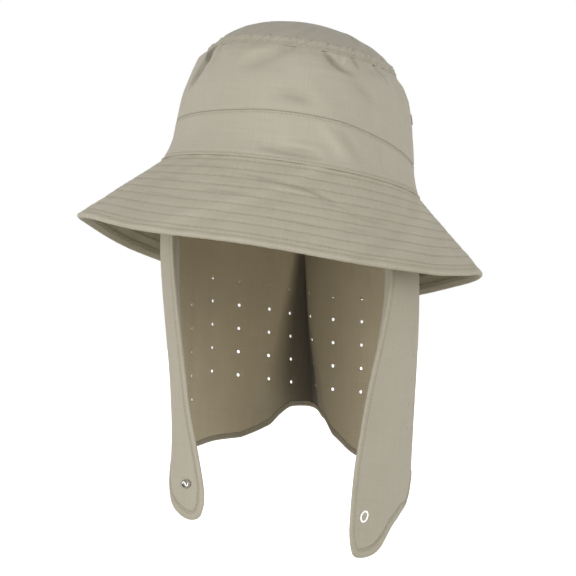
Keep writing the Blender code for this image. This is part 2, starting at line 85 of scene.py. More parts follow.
CROWN_CLOTH = 0.0011
BRIM_CLOTH = 0.0011
FLAP_CLOTH = 0.0009          # the flap's single cloth
FLAP_SOLID = 0.0014          # the solid's wall, whose middle the cloth follows
BRIM_ROW_PITCH = 0.0073      # between the brim's rows of stitching
STITCH_LENGTH = 0.0019
STITCH_PITCH = 0.0027
THREAD_RADIUS = 0.00021
BACK_HEM = 0.0034
TAB_HEM = 0.0060
RIM_ROLL = 0.0017            # radius of the brim's rolled edge

# The solids' tables

CROWN_SECTIONS = [
    (0.00, 1.000, 0.000),
    (0.10, 0.968, -0.002),
    (0.20, 0.943, -0.004),
    (0.40, 0.922, -0.012),
    (0.62, 0.893, -0.024),
    (0.81, 0.849, -0.026),
    (0.92, 0.808, -0.036),
    (1.00, 0.755, -0.046),
]
BAND_SEAM = [
    (0, 0.69),
    (30, 0.84),
    (60, 0.95),
    (120, 0.97),
    (180, 0.91),
    (210, 0.90),
    (240, 0.95),
    (270, 1.03),
    (300, 1.01),
    (325, 0.86),
    (345, 0.73),
]
DOME_SECTIONS = [
    (0.00, 1.00),
    (0.30, 0.94),
    (0.55, 0.78),
    (0.73, 0.59),
    (0.86, 0.39),
    (0.94, 0.21),
    (1.00, 0.00),
]
CROWN_DENTS = [
    (300, 0.67, 13, 0.065, 0.030),
    (322, 0.69, 9, 0.060, 0.026),
    (205, 0.76, 20, 0.090, 0.026),
    (262, 0.60, 16, 0.080, 0.016),
    (274, 0.42, 15, 0.070, 0.014),
    (338, 0.46, 7, 0.160, 0.012),
    (352, 0.44, 6, 0.140, -0.010),
    (269, 0.11, 16, 0.060, 0.016),
    (312, 0.17, 12, 0.070, -0.010),
    (60, 0.62, 14, 0.080, 0.024),
    (128, 0.66, 12, 0.080, 0.022),
    (95, 0.40, 18, 0.120, 0.018),
    (165, 0.45, 10, 0.140, 0.014),
]
BRIM_STATIONS = [
    (0, 0.70, 0.63),
    (30, 0.70, 0.66),
    (60, 0.56, 0.84),
    (90, 0.48, 0.89),
    (120, 0.52, 0.86),
    (150, 0.645, 0.74),
    (180, 0.72, 0.615),
    (210, 0.72, 0.665),
    (240, 0.685, 0.795),
    (270, 0.695, 0.825),
    (300, 0.63, 0.84),
    (330, 0.60, 0.78),
    (345, 0.655, 0.705),
]
FLAP_PATH = [
    (-1.00, -0.837, -0.446, -0.701, -0.505, -0.570, -0.515),
    (-0.94, -0.919, -0.317, -0.808, -0.421, -0.700, -0.460),
    (-0.84, -1.006, -0.119, -0.896, -0.226, -0.872, -0.307),
    (-0.72, -1.023, 0.129, -0.914, 0.025, -0.945, -0.069),
    (-0.60, -0.988, 0.376, -0.920, 0.276, -0.945, 0.248),
    (-0.50, -0.919, 0.584, -0.888, 0.484, -0.900, 0.495),
    (-0.40, -0.785, 0.762, -0.773, 0.666, -0.779, 0.703),
    (-0.30, -0.576, 0.871, -0.578, 0.806, -0.581, 0.812),
    (-0.20, -0.331, 0.936, -0.347, 0.890, -0.360, 0.861),
    (-0.05, -0.105, 0.965, -0.111, 0.920, -0.116, 0.886),
    (0.10, 0.198, 0.965, 0.202, 0.888, 0.203, 0.842),
    (0.20, 0.448, 0.916, 0.444, 0.825, 0.442, 0.782),
    (0.30, 0.674, 0.827, 0.672, 0.735, 0.670, 0.693),
    (0.40, 0.840, 0.678, 0.838, 0.585, 0.825, 0.545),
    (0.50, 0.930, 0.495, 0.905, 0.400, 0.880, 0.366),
    (0.60, 0.972, 0.287, 0.915, 0.190, 0.880, 0.158),
    (0.72, 0.985, 0.050, 0.890, -0.045, 0.845, -0.079),
    (0.84, 0.957, -0.178, 0.815, -0.270, 0.745, -0.307),
    (0.94, 0.889, -0.366, 0.695, -0.430, 0.603, -0.455),
    (1.00, 0.837, -0.465, 0.622, -0.545, 0.541, -0.564),
]
# the viewer's-right tab has its fuller rear corner here, which the solid cuts short
FLAP_HEM = [
    (0.000, 0.616, 0.616),
    (0.060, 0.624, 0.624),
    (0.110, 0.651, 0.650),
    (0.150, 0.682, 0.686),
    (0.200, 0.709, 0.724),
    (0.250, 0.731, 0.744),
    (0.350, 0.750, 0.757),
    (0.450, 0.776, 0.766),
    (0.520, 0.788, 0.770),
    (0.550, 0.788, 0.778),
    (0.575, 0.788, 0.797),
    (0.600, 0.788, 0.822),
    (0.640, 0.785, 0.845),
    (0.695, 0.783, 0.864),
    (0.712, 0.822, 0.870),
    (0.750, 0.868, 0.888),
    (0.790, 0.898, 0.911),
    (0.835, 0.943, 0.951),
    (0.875, 0.968, 0.982),
    (0.912, 0.982, 0.996),
    (0.953, 0.985, 1.000),
    (0.975, 0.974, 0.992),
    (0.990, 0.945, 0.965),
    (1.000, 0.905, 0.930),
]

# Finer folds, which only the look has

# Creases of the crown: (angle, height) of its two ends, half width and depth, all lengths in
# millimetres; a negative depth is a ridge
CROWN_CREASES = [
    (221, 79.5, 221, 65.0, 1.7, 2.6),
    (220, 66.0, 214, 50.0, 2.6, 1.3),
    (225, 78.0, 225, 64.0, 1.7, -0.5),
    (228, 76.0, 226, 60.0, 3.2, 0.5),
    (274, 75.5, 251, 61.0, 4.4, 1.0),
    (266, 76.5, 247, 68.0, 3.6, -0.5),
    (292, 74.5, 300, 67.0, 2.2, 1.9),
    (300, 67.0, 306, 65.5, 2.0, 1.2),
    (304, 76.0, 302, 71.0, 1.5, -0.9),
    (309, 76.0, 311, 70.0, 1.5, 0.9),
    (272, 44.5, 285, 41.5, 3.2, 0.9),
    (306, 61.0, 318, 50.0, 4.0, 0.6),
    (326, 77.0, 331, 68.0, 2.0, 0.9),
    (334, 77.0, 343, 60.0, 2.8, 0.6),
    (342, 77.0, 347, 60.0, 2.4, 0.4),
    (352, 77.0, 355, 58.0, 2.6, 0.5),
    (347, 70.0, 350, 50.0, 2.6, -0.3),
    (266, 7.0, 290, 6.0, 2.6, 1.2),
    (273, 11.5, 291, 11.0, 2.8, -0.6),
    (291, 26.0, 303, 10.0, 4.2, -0.9),
    (301, 25.0, 310, 10.0, 3.4, 0.6),
    (318, 26.0, 323, 11.0, 3.4, 0.3),
    (40, 75.0, 52, 60.0, 2.4, 1.2),
    (70, 30.0, 78, 12.0, 3.0, 0.8),
    (100, 76.0, 96, 58.0, 2.6, 1.1),
    (140, 76.0, 146, 62.0, 2.2, 1.3),
    (120, 28.0, 128, 10.0, 2.6, 0.7),
    (170, 70.0, 176, 50.0, 2.6, 0.8),
    (12, 70.0, 16, 48.0, 2.6, 0.8),
    (190, 25.0, 196, 8.0, 2.8, 0.6),
]

# The pinched pocket at the crown's upper corner, drawn dark inside with painted shade only, in
# the same columns
POCKET_SHADE = [
    (216, 81.0, 219, 64.0, 2.8, 5.0),
    (217, 67.0, 211, 48.0, 3.0, 2.4),
]

# Folds of the flap: (station, depth) of its two ends, half width and depth, lengths in
# millimetres; a positive depth goes away from the wearer
FLAP_FOLDS = [
    (-0.46, 45, -0.50, 165, 5.0, 1.3),
    (-0.41, 50, -0.44, 150, 6.0, -0.9),
    (-0.27, 60, -0.30, 150, 9.0, 1.2),
    (-0.20, 40, -0.22, 130, 7.0, -0.8),
    (0.20, 30, 0.24, 60, 3.5, 1.0),
    (0.24, 28, 0.27, 55, 3.0, -0.7),
    (0.30, 60, 0.33, 150, 8.0, 1.1),
    (0.42, 60, 0.45, 160, 7.0, -1.0),
    (0.56, 60, 0.58, 160, 9.0, 0.9),
    (-0.60, 60, -0.62, 165, 9.0, 0.9),
    (0.80, 110, 0.86, 215, 8.0, 0.6),
    (-0.88, 150, -0.86, 215, 5.0, 0.7),
    (-0.955, 40, -0.93, 190, 3.0, -0.5),
]

# Edges of the centre back fold: (depth, station of the crisp edge, of the soft edge)
PLEAT_EDGES = [
    (0.000, -0.020, -0.040),
    (0.038, -0.022, -0.065),
    (0.085, -0.018, -0.135),
    (0.142, 0.012, -0.215),
    (0.160, 0.020, -0.235),
]
PLEAT_FOLD = 0.030           # how far back the fold goes at the hem

# Creases of the brim: (angle, millimetres down the slope) of its two ends, half width, depth
BRIM_CREASES = [
    (268, 17.0, 289, 19.5, 1.5, 0.55),
    (286, 20.5, 296, 25.5, 1.4, 0.50),
    (291, 27.5, 300, 29.5, 1.3, 0.35),
    (252, 29.5, 270, 31.0, 1.6, 0.35),
    (262, 14.5, 279, 16.0, 1.4, 0.40),
    (275, 22.5, 287, 23.5, 1.3, -0.35),
    (300, 33.5, 314, 36.5, 1.5, 0.35),
    (230, 37.0, 246, 38.5, 1.5, 0.30),
    (276, 46.0, 292, 47.0, 1.4, 0.30),
    (238, 8.5, 254, 9.5, 1.3, 0.30),
    (226, 22.5, 244, 24.0, 1.4, 0.25),
    (298, 43.5, 312, 45.0, 1.5, 0.25),
]


# Smooth readings of the tables, for whole arrays of places at once

def lean_matrix():
    turn = (Matrix.Rotation(math.radians(LEAN_SIDE), 3, "Y")
            @ Matrix.Rotation(math.radians(-LEAN_BACK), 3, "X"))
    return np.array(turn)


LEAN = lean_matrix()


def smooth_step(value):
    value = np.clip(value, 0.0, 1.0)
    return value * value * (3.0 - 2.0 * value)


def bell(offset, spread):
    share = np.minimum(np.abs(offset) / spread, 1.0)
    return (1.0 - share * share) ** 2


def spline(before, start, end, after, share):
    return 0.5 * (2.0 * start + (end - before) * share
                  + (2.0 * before - 5.0 * start + 4.0 * end - after) * share ** 2
                  + (3.0 * start - before - 3.0 * end + after) * share ** 3)


def read_curve(table, key, column):
    """One column of an open table, as a smooth curve through its rows."""
    keys = np.array([row[0] for row in table], float)
    values = np.array([row[column] for row in table], float)
    key = np.clip(np.asarray(key, float), keys[0], keys[-1])
    low = np.clip(np.searchsorted(keys, key, side="right") - 1, 0, len(keys) - 2)
    share = (key - keys[low]) / (keys[low + 1] - keys[low])
    return spline(values[np.maximum(low - 1, 0)], values[low], values[low + 1],
                  values[np.minimum(low + 2, len(keys) - 1)], share)


def read_round(table, angle, column):
    """One column of a table whose rows go once round the hat."""
    keys = np.array([row[0] for row in table], float)
    values = np.array([row[column] for row in table], float)
    angle = np.mod(np.asarray(angle, float), 360.0)
    low = np.searchsorted(keys, angle, side="right") - 1
    count = len(keys)
    width = np.mod(keys[(low + 1) % count] - keys[low], 360.0)
    share = (angle - keys[low]) / width
    return spline(values[low - 1], values[low], values[(low + 1) % count],
                  values[(low + 2) % count], share)


def wander(place, pitch, seed):
    """A smooth, seeded wave between -1 and 1 whose bumps are about this far apart."""
    wave = 0.0
    for step in range(4):
        stretch = (0.71, 1.0, 1.37, 1.83)[step]
        phase = math.sin(seed * 12.9898 + step * 78.233) * 43758.5453
        wave = wave + np.sin(place * 2.0 * math.pi * stretch / pitch + phase)
    return wave / 4.0


def along_line(x, y, row):
    """How strongly a crease of the table marks each place, and its depth in metres."""
    x0, y0, x1, y1, half, depth = row
    dx, dy = x1 - x0, y1 - y0
    length = math.hypot(dx, dy)
    share = np.clip(((x - x0) * dx + (y - y0) * dy) / length ** 2, 0.0, 1.0)
    away = np.hypot(x - x0 - share * dx, y - y0 - share * dy)
    fade = 0.35 + 0.65 * np.sin(math.pi * np.clip(share, 0.02, 0.98)) ** 0.6
    return np.exp(-(away / half) ** 2) * fade * depth / 1000.0


# Surfaces, in the hat's own frame

def around(angle):
    turn = np.radians(angle)
    return np.cos(turn), np.sin(turn)


def oval(angle, size=1.0):
    x, y = around(angle)
    return np.stack([HEAD_HALF_WIDTH * size * x, HEAD_HALF_LENGTH * size * y, 0.0 * x], -1)


def outward(angle):
    x, y = around(angle)
    x, y = x / HEAD_HALF_WIDTH, y / HEAD_HALF_LENGTH
    length = np.hypot(x, y)
    return np.stack([x / length, y / length, 0.0 * x], -1)


def dent(angle, height):
    depth = 0.0
    for centre, level, spread, tall, deep in CROWN_DENTS:
        turn = np.mod(angle - centre + 180.0, 360.0) - 180.0
        rise = height - level * CROWN_HEIGHT
        depth = depth + deep * CROWN_HEIGHT * bell(turn, spread) * bell(rise, tall * CROWN_HEIGHT)
    return depth


def crown_creases(angle, height, rows):
    millimetres_a_degree = 1.45
    depth = 0.0
    for row in rows:
        turn = np.mod(angle - row[0] + 180.0, 360.0) - 180.0
        end = (row[2] - row[0] + 180.0) % 360.0 - 180.0
        line = (0.0, row[1], end * millimetres_a_degree, row[3], row[4], row[5])
        depth = depth + along_line(turn * millimetres_a_degree, height * 1000.0, line)
    return depth


def crown_point(angle, height):
    share = height / TOP_SEAM
    point = oval(angle, read_curve(CROWN_SECTIONS, share, 1))
    point[..., 0] += read_curve(CROWN_SECTIONS, share, 2) * HEAD_HALF_WIDTH
    point[..., 2] = height
    return point - outward(angle) * dent(angle, height)[..., None]


def dome_point(angle, distance):
    edge = crown_point(angle, TOP_SEAM + 0.0 * angle)
    middle = np.array([CROWN_SECTIONS[-1][2] * HEAD_HALF_WIDTH, 0.0, TOP_SEAM])
    point = middle + (edge - middle) * distance[..., None]
    height = TOP_SEAM + read_curve(DOME_SECTIONS, distance, 1) * DOME_RISE
    inward = dent(angle, height) * smooth_step(distance * 2.0)
    point[..., 2] = height - inward * 0.5
    return point - outward(angle) * (inward * 0.5)[..., None]


def band_seam(angle):
    return read_round(BAND_SEAM, angle, 1) * LOWER_BAND_HEIGHT


def brim_slope(angle):
    reach = read_round(BRIM_STATIONS, angle, 1) * BRIM_WIDTH
    drop = read_round(BRIM_STATIONS, angle, 2) * BRIM_WIDTH
    slope = outward(angle) * reach[..., None]
    slope[..., 2] -= drop
    width = np.linalg.norm(slope, axis=-1)
    return slope / width[..., None], width


def brim_point(angle, along, below):
    """A point of the brim: metres down its slope, and metres under its upper face."""
    slope, _ = brim_slope(angle)
    out = outward(angle)
    level = np.sum(slope * out, axis=-1)
    under = out * slope[..., 2:3]
    under[..., 2] -= level
    start = oval(angle)
    start[..., 2] -= GAP
    return start + slope * along[..., None] + under * below[..., None]


def seam_angle(station):
    return 90.0 - station * FLAP_SEAM_HALF_ANGLE


def pleat(station, depth):
    """The fold at the centre back: how far it goes back, and how far sideways.

    The cloth slopes back gently from the wearer's right, and turns sharply forward again
    behind the fold's other edge, which overhangs it.
    """
    grown = np.maximum((depth - PLEAT_START) / (FLAP_HEM[0][1] * FLAP_LENGTH - PLEAT_START), 0.0)
    deep = PLEAT_FOLD * np.minimum(grown, 1.15) ** 0.6
    crisp = read_curve(PLEAT_EDGES, depth, 1)
    soft = read_curve(PLEAT_EDGES, depth, 2)
    across = (station - crisp) / (soft - crisp)
    turned = smooth_step((across + 0.10) / 0.34)
    eased = 1.0 - smooth_step((across - 0.22) / 0.90)
    tucked = bell(across - 0.10, 0.42)
    return deep * turned * eased, deep * 0.20 * tucked


def fold_shade(station, depth):
    """The painted shadow of the centre back fold on the flap's inner face, from 0 to 1."""
    crisp = read_curve(PLEAT_EDGES, depth, 1)
    soft = read_curve(PLEAT_EDGES, depth, 2)
    inside = (crisp - station) / (crisp - soft)
    falling = np.exp(-np.maximum(inside, 0.0) ** 2 * 1.6) * smooth_step(1.9 - inside)
    beside = 0.66 * np.exp(-np.maximum(station - crisp, 0.0) / 0.080)
    edge = smooth_step((inside + 0.03) / 0.06)
    return (falling * edge + beside * (1.0 - edge)) * smooth_step(depth / 0.03)


def flap_folds(station, depth):
    push = 0.0
    for row in FLAP_FOLDS:
        line = (row[0] * FLAP_HALF_SEAM * 1000.0, row[1],
                row[2] * FLAP_HALF_SEAM * 1000.0, row[3], row[4], row[5])
        push = push + along_line(station * FLAP_HALF_SEAM * 1000.0, depth * 1000.0, line)
    return push


def flap_outer(station, depth):
    """The outer face of the flap's solid."""
    angle = seam_angle(station)
    top = (oval(angle) - outward(angle) * 0.0021) @ LEAN.T
    hung = []
    for column in (1, 2):
        size = HEAD_HALF_WIDTH if column == 1 else HEAD_HALF_LENGTH
        ends = [read_curve(FLAP_PATH, station, 2 * place + column) * size for place in range(3)]
        keys = FLAP_LEVELS
        clipped = np.clip(depth, keys[0], keys[-1])
        upper = clipped < keys[1]
        share = np.where(upper, (clipped - keys[0]) / (keys[1] - keys[0]),
                         (clipped - keys[1]) / (keys[2] - keys[1]))
        first = spline(ends[0], ends[0], ends[1], ends[2], share)
        second = spline(ends[0], ends[1], ends[2], ends[2], share)
        hung.append(np.where(upper, first, second))
    blend = smooth_step(depth / FLAP_SETTLE)
    point = np.empty(np.shape(station + depth) + (3,))
    back, sideways = pleat(station, depth)
    point[..., 0] = top[..., 0] + (hung[0] - top[..., 0]) * blend + sideways
    point[..., 1] = top[..., 1] + (hung[1] - top[..., 1]) * blend + back
    point[..., 2] = top[..., 2] - depth
    return point


def surface_normal(function, first, second, step_first, step_second):
    """Unit normals of a surface, from small steps each way."""
    along = function(first + step_first, second) - function(first - step_first, second)
    down = function(first, second + step_second) - function(first, second - step_second)
    normal = np.cross(along, down)
    return normal / np.linalg.norm(normal, axis=-1)[..., None]


def flap_normal(station, depth):
    """Unit normals of the flap, away from the wearer."""
    return surface_normal(flap_outer, station, depth, 0.006, 0.0015)


def flap_middle(station, depth, lift=0.0):
    """The middle of the flap's cloth with its finer folds, lifted away from the wearer."""
    normal = flap_normal(station, depth)
    push = flap_folds(station, depth) * smooth_step((depth - 0.02) / 0.02)
    return flap_outer(station, depth) + normal * (push + lift - FLAP_SOLID / 2.0)[..., None]


def hem_depth(station):
    station = np.asarray(station, float)
    from_pleat = np.abs(station - PLEAT_STATION * (1.0 - np.abs(station)))
    hem = np.where(station < PLEAT_STATION, read_curve(FLAP_HEM, from_pleat, 1),
                   read_curve(FLAP_HEM, from_pleat, 2))
    return hem * FLAP_LENGTH


# Fine surfaces of the crown and brim, in the world

def crown_side(angle, height, lift=0.0):
    """The crown's side with its creases, and with puckers along its seams."""
    seam = band_seam(angle)
    mark = angle * 1.45
    near_top = np.exp(-((TOP_SEAM - height) / 0.0045) ** 2)
    near_seam = np.exp(-((height - seam) / 0.0028) ** 2)
    push = -crown_creases(angle, height, CROWN_CREASES) * 2.2
    push = push + near_top * 0.00070 * wander(mark, 8.5, 3)
    push = push + near_seam * 0.00025 * wander(mark, 6.5, 5)
    push = push - 0.00042 * np.exp(-((height - seam) / 0.0005) ** 2)
    push = push - 0.00080 * np.exp(-((TOP_SEAM - height) / 0.0010) ** 2)
    push = push + 0.00035 * wander(mark + height * 900.0, 37.0, 7) * bell(height - TOP_SEAM * 0.5,
                                                                         TOP_SEAM * 0.5)
    point = crown_point(angle, height) + outward(angle) * (push + lift)[..., None]
    return point @ LEAN.T


def crown_shade(angle, height):
    """Painted shade on the crown's side: dark in creases, pocket and band seam, light on ridges.
    """
    depth = crown_creases(angle, height, CROWN_CREASES + POCKET_SHADE)
    # painted shade along the band seam
    seam = np.exp(-((height - band_seam(angle)) / 0.0009) ** 2)
    return np.clip(depth * 140.0 + seam * 0.08, -0.10, 0.75)


def dome_normal(angle, distance):
    normal = surface_normal(dome_point, angle, distance, 0.8, 0.01)
    return np.where(normal[..., 2:3] < 0.0, -normal, normal)


def dome_surface(angle, distance, lift=0.0):
    """The crown's top, with its topstitched seam allowance just above the seam."""
    mark = angle * 1.2
    strip = smooth_step((0.990 - distance) / 0.010) * smooth_step((distance - 0.925) / 0.010)
    rumple = wander(mark, 7.0, 11) * 0.6 + wander(mark + distance * 160.0, 4.6, 13) * 0.5
    push = strip * (0.00045 + 0.00115 * rumple)
    push = push - 0.00045 * np.exp(-((distance - 0.978) / 0.004) ** 2)
    push = push - 0.00040 * np.exp(-((distance - 0.938) / 0.004) ** 2)
    inner = smooth_step((0.93 - distance) / 0.08) * smooth_step(distance / 0.6)
    push = push + inner * 0.0007 * wander(mark + distance * 25.0, 24.0, 17) * bell(
        distance - 0.75, 0.4)
    point = dome_point(angle, distance) + dome_normal(angle, distance) * (push + lift)[..., None]
    return point @ LEAN.T


def brim_rows():
    """How far down the slope each row of stitching lies."""
    return [0.0032 + BRIM_ROW_PITCH * row for row in range(9)]


def brim_relief(angle, along):
    """The quilted relief of the brim: a furrow at each row of stitching, and its puckers."""
    _, width = brim_slope(angle)
    scale = BRIM_WIDTH * 0.985 / width
    place = along * scale
    mark = angle * 2.0
    push = 0.0
    for number, row in enumerate(brim_rows()):
        off = (place - row) / 0.00085
        push = push - 0.00050 * np.exp(-off ** 2)
        pucker = np.exp(-((place - row) / 0.0024) ** 2)
        push = push + pucker * 0.00030 * wander(mark + number * 37.0, 4.2, 19 + number)
    push = push - 0.00050 * np.exp(-((width - along - 0.0044) / 0.0008) ** 2)
    push = push + 0.00030 * wander(mark + place * 1400.0, 46.0, 23)
    for row in BRIM_CREASES:
        turn = np.mod(angle - row[0] + 180.0, 360.0) - 180.0
        end = (row[2] - row[0] + 180.0) % 360.0 - 180.0
        line = (0.0, row[1], end * 2.0, row[3], row[4], row[5])
        push = push - along_line(turn * 2.0, place * 1000.0, line) * 1.9
    return push


def brim_surface(angle, along, lift=0.0):
    return brim_point(angle, along, -(brim_relief(angle, along) + lift)) @ LEAN.T


def rim_profile(angle, turn):
    """The brim's rolled edge: turn goes from 0, on top, through 1, below, to 2, under it."""
    _, width = brim_slope(angle)
    curl = np.clip(turn, 0.0, 1.0) * math.pi
    along = width - RIM_ROLL + RIM_ROLL * np.sin(curl)
    below = RIM_ROLL - RIM_ROLL * np.cos(curl)
    under = np.clip(turn - 1.0, 0.0, 1.0)
    along = along - under * 0.0045
    below = below - under * 0.0005
    wave = 0.00018 * wander(angle * 2.4, 11.0, 29)
    return brim_point(angle, along, below - wave) @ LEAN.T


# Meshes

def new_piece(name, mesh, material, slot, *nodes):
    """Links a finished mesh as a piece of the hat, standing for these solids."""
    piece = bpy.data.objects.new(name, mesh)
    bpy.context.scene.collection.objects.link(piece)
    mesh.materials.append(material)
    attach(piece, "root")
    if nodes:
        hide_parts(*nodes)
    return piece


def grid_mesh(name, points, lengths, closed=True, pole=None):
    """A sheet from a grid of points. Its UV map is in metres along the cloth."""
    rows, columns = points.shape[:2]
    vertices = points.reshape(-1, 3)
    faces = []
    uvs = []
    u, v = lengths
    wide = columns if closed else columns - 1
    for row in range(rows - 1):
        for column in range(wide):
            after = (column + 1) % columns
            faces.append((row * columns + column, row * columns + after,
                          (row + 1) * columns + after, (row + 1) * columns + column))
            follow = column + 1
            uvs.extend(((u[column], v[row]), (u[follow], v[row]),
                        (u[follow], v[row + 1]), (u[column], v[row + 1])))
    if pole is not None:
        vertices = np.vstack([vertices, pole])
        last = (rows - 1) * columns
        for column in range(columns):
            faces.append((last + column, last + (column + 1) % columns, len(vertices) - 1))
            uvs.extend(((u[column], v[rows - 1]), (u[column + 1], v[rows - 1]),
                        (u[column], v[rows - 1])))
    mesh = bpy.data.meshes.new(name)
    mesh.from_pydata([tuple(point) for point in vertices], [], faces)
    layer = mesh.uv_layers.new(name="cloth")
    layer.data.foreach_set("uv", np.array(uvs, float).ravel())
    mesh.shade_smooth()
    mesh.update()
    return mesh


def thicken(piece, thickness, offset=-1.0):
    """Gives a sheet its cloth's thickness."""
    solidify = piece.modifiers.new("cloth thickness", "SOLIDIFY")
    solidify.thickness = thickness
    solidify.offset = offset
    solidify.use_rim = True


def set_shade(mesh, values):
    """Keeps the painted shade at each vertex: how much darker its material draws the cloth there.
    """
    shade = mesh.attributes.new(name="fold_shade", type="FLOAT", domain="POINT")
    shade.data.foreach_set("value", np.ravel(values))


def stitches(name, runs, material, slot, radius=THREAD_RADIUS):
    """Rows of sunken stitches. Each run is (points of the row, outward directions)."""
    vertices = []
    faces = []
    for points, directions in runs:
        points = np.asarray(points)
        steps = np.linalg.norm(np.diff(points, axis=0), axis=1)
        travelled = np.concatenate([[0.0], np.cumsum(steps)])
        count = int(travelled[-1] / STITCH_PITCH)
        starts = (np.arange(count) + 0.15) * travelled[-1] / max(count, 1)
        ends = starts + STITCH_LENGTH
        shares = (0.0, 0.18, 0.5, 0.82, 1.0)
        bulges = (0.25, 0.9, 1.0, 0.9, 0.25)
        rises = (-0.9, 0.1, 0.55, 0.1, -0.9)
        for start, end in zip(starts, ends):
            places = [start + (end - start) * share for share in shares]
            spine = np.stack([np.interp(places, travelled, points[:, axis])
                              for axis in range(3)], 1)
            facing = np.array([np.interp(places[2], travelled, directions[:, axis])
                               for axis in range(3)])
            facing /= np.linalg.norm(facing)
            run = spine[-1] - spine[0]
            run /= np.linalg.norm(run)
            across = np.cross(run, facing)
            first = len(vertices)
            for middle, bulge, rise in zip(spine, bulges, rises):
                centre = middle + facing * radius * rise
                for side, up in ((1.0, 0.0), (0.0, 1.0), (-1.0, 0.0), (0.0, -1.0)):
                    vertices.append(tuple(centre + (across * side * 1.15 + facing * up)
                                          * radius * bulge))
            for ring in range(len(shares) - 1):
                for side in range(4):
                    after = (side + 1) % 4
                    low = first + ring * 4
                    faces.append((low + side, low + after, low + 4 + after, low + 4 + side))
            faces.append((first + 3, first + 2, first + 1, first))
            last = first + (len(shares) - 1) * 4
            faces.append((last, last + 1, last + 2, last + 3))
    mesh = bpy.data.meshes.new(name)
    mesh.from_pydata(vertices, [], faces)
    builder = bmesh.new()
    builder.from_mesh(mesh)
    bmesh.ops.recalc_face_normals(builder, faces=builder.faces)
    builder.to_mesh(mesh)
    builder.free()
    mesh.shade_smooth()
    return new_piece(name, mesh, material, slot)


# Materials

def linear(code):
    """A linear colour from an sRGB hex value."""
    parts = [int(code[place:place + 2], 16) / 255.0 for place in (1, 3, 5)]
    return tuple(part / 12.92 if part <= 0.04045 else ((part + 0.055) / 1.055) ** 2.4
                 for part in parts) + (1.0,)


def add_node(tree, kind, settings=None, links=None):
    """Adds one node, with its settings by name and its inputs set or linked."""
    node = tree.nodes.new(kind)
    for name, value in (settings or {}).items():
        setattr(node, name, value)
    for name, value in (links or {}).items():
        if isinstance(value, bpy.types.NodeSocket):
            tree.links.new(value, node.inputs[name])
        else:
            node.inputs[name].default_value = value
    return node


def new_material(name):
    material = bpy.data.materials.new(name)
    material.use_nodes = True
    tree = material.node_tree
    shader = tree.nodes["Principled BSDF"]
    return material, tree, shader


def woven_cloth(name, light, dark, relief=0.3, shaded=True):
    """Plain-woven cotton and nylon cloth: matt, with uneven threads both ways.

    The real threads are about 0.3 mm apart, too fine to show, so they are drawn coarser, at
    the weave's pitch. Long slubs along each thread give the faint cross-hatch of the cloth.
    Where the mesh keeps a fold_shade, painted shade darkens the cloth down in its folds
    and creases; where that value is below 0, it is a faint painted highlight.
    """
    weave = 0.00075
    material, tree, shader = new_material(name)
    place = add_node(tree, "ShaderNodeUVMap", {"uv_map": "cloth"}).outputs["UV"]
    solid = add_node(tree, "ShaderNodeTexCoord").outputs["Object"]
    threads = []
    slubs = []
    for turn, stretch in ((0.0, (1.0, 0.055, 1.0)), (math.pi / 2.0, (0.055, 1.0, 1.0))):
        mapped = add_node(tree, "ShaderNodeMapping", {}, {
            "Vector": place, "Rotation": (0.0, 0.0, turn)})
        wave = add_node(tree, "ShaderNodeTexWave", {"wave_type": "BANDS"}, {
            "Vector": mapped.outputs["Vector"], "Scale": 1.0 / weave / 20.0 * math.pi,
            "Distortion": 0.6, "Detail": 1.0, "Detail Scale": 2.0})
        threads.append(wave.outputs["Fac"])
        run = add_node(tree, "ShaderNodeMapping", {}, {"Vector": place, "Scale": stretch})
        slub = add_node(tree, "ShaderNodeTexNoise", {}, {
            "Vector": run.outputs["Vector"], "Scale": 620.0, "Detail": 2.0})
        slubs.append(slub.outputs["Fac"])
    crossed = add_node(tree, "ShaderNodeMath", {"operation": "MULTIPLY"}, {
        0: threads[0], 1: threads[1]}).outputs["Value"]
    slubbed = add_node(tree, "ShaderNodeMath", {"operation": "ADD"}, {
        0: slubs[0], 1: slubs[1]}).outputs["Value"]
    patch = add_node(tree, "ShaderNodeTexNoise", {}, {
        "Vector": solid, "Scale": 26.0, "Detail": 3.0}).outputs["Fac"]
    mottle = add_node(tree, "ShaderNodeMath", {"operation": "MULTIPLY_ADD"}, {
        0: slubbed, 1: 0.35, 2: 0.15}).outputs["Value"]
    mixed = add_node(tree, "ShaderNodeMath", {"operation": "MULTIPLY_ADD"}, {
        0: patch, 1: 0.45, 2: mottle}).outputs["Value"]
    ramp = add_node(tree, "ShaderNodeValToRGB", {}, {"Fac": mixed})
    ramp.color_ramp.elements[0].position = 0.42
    ramp.color_ramp.elements[0].color = linear(dark)
    ramp.color_ramp.elements[1].position = 0.98
    ramp.color_ramp.elements[1].color = linear(light)
    colour = ramp.outputs["Color"]
    if shaded:
        # painted shade: the colour is scaled down by the mesh's fold_shade
        held = add_node(tree, "ShaderNodeAttribute", {"attribute_name": "fold_shade"})
        kept = add_node(tree, "ShaderNodeMath", {"operation": "MULTIPLY_ADD"}, {
            0: held.outputs["Fac"], 1: -0.86, 2: 1.0}).outputs["Value"]
        colour = add_node(tree, "ShaderNodeVectorMath", {"operation": "SCALE"}, {
            "Vector": colour, "Scale": kept}).outputs["Vector"]
    tree.links.new(colour, shader.inputs["Base Color"])
    height = add_node(tree, "ShaderNodeMath", {"operation": "MULTIPLY_ADD"}, {
        0: slubbed, 1: 1.2, 2: crossed}).outputs["Value"]
    bump = add_node(tree, "ShaderNodeBump", {}, {
        "Strength": relief, "Distance": 0.00012, "Height": height})
    tree.links.new(bump.outputs["Normal"], shader.inputs["Normal"])
    shader.inputs["Roughness"].default_value = 0.88
    shader.inputs["Sheen Weight"].default_value = 0.10
    shader.inputs["Sheen Roughness"].default_value = 0.5
    shader.inputs["Specular IOR Level"].default_value = 0.3
    return material


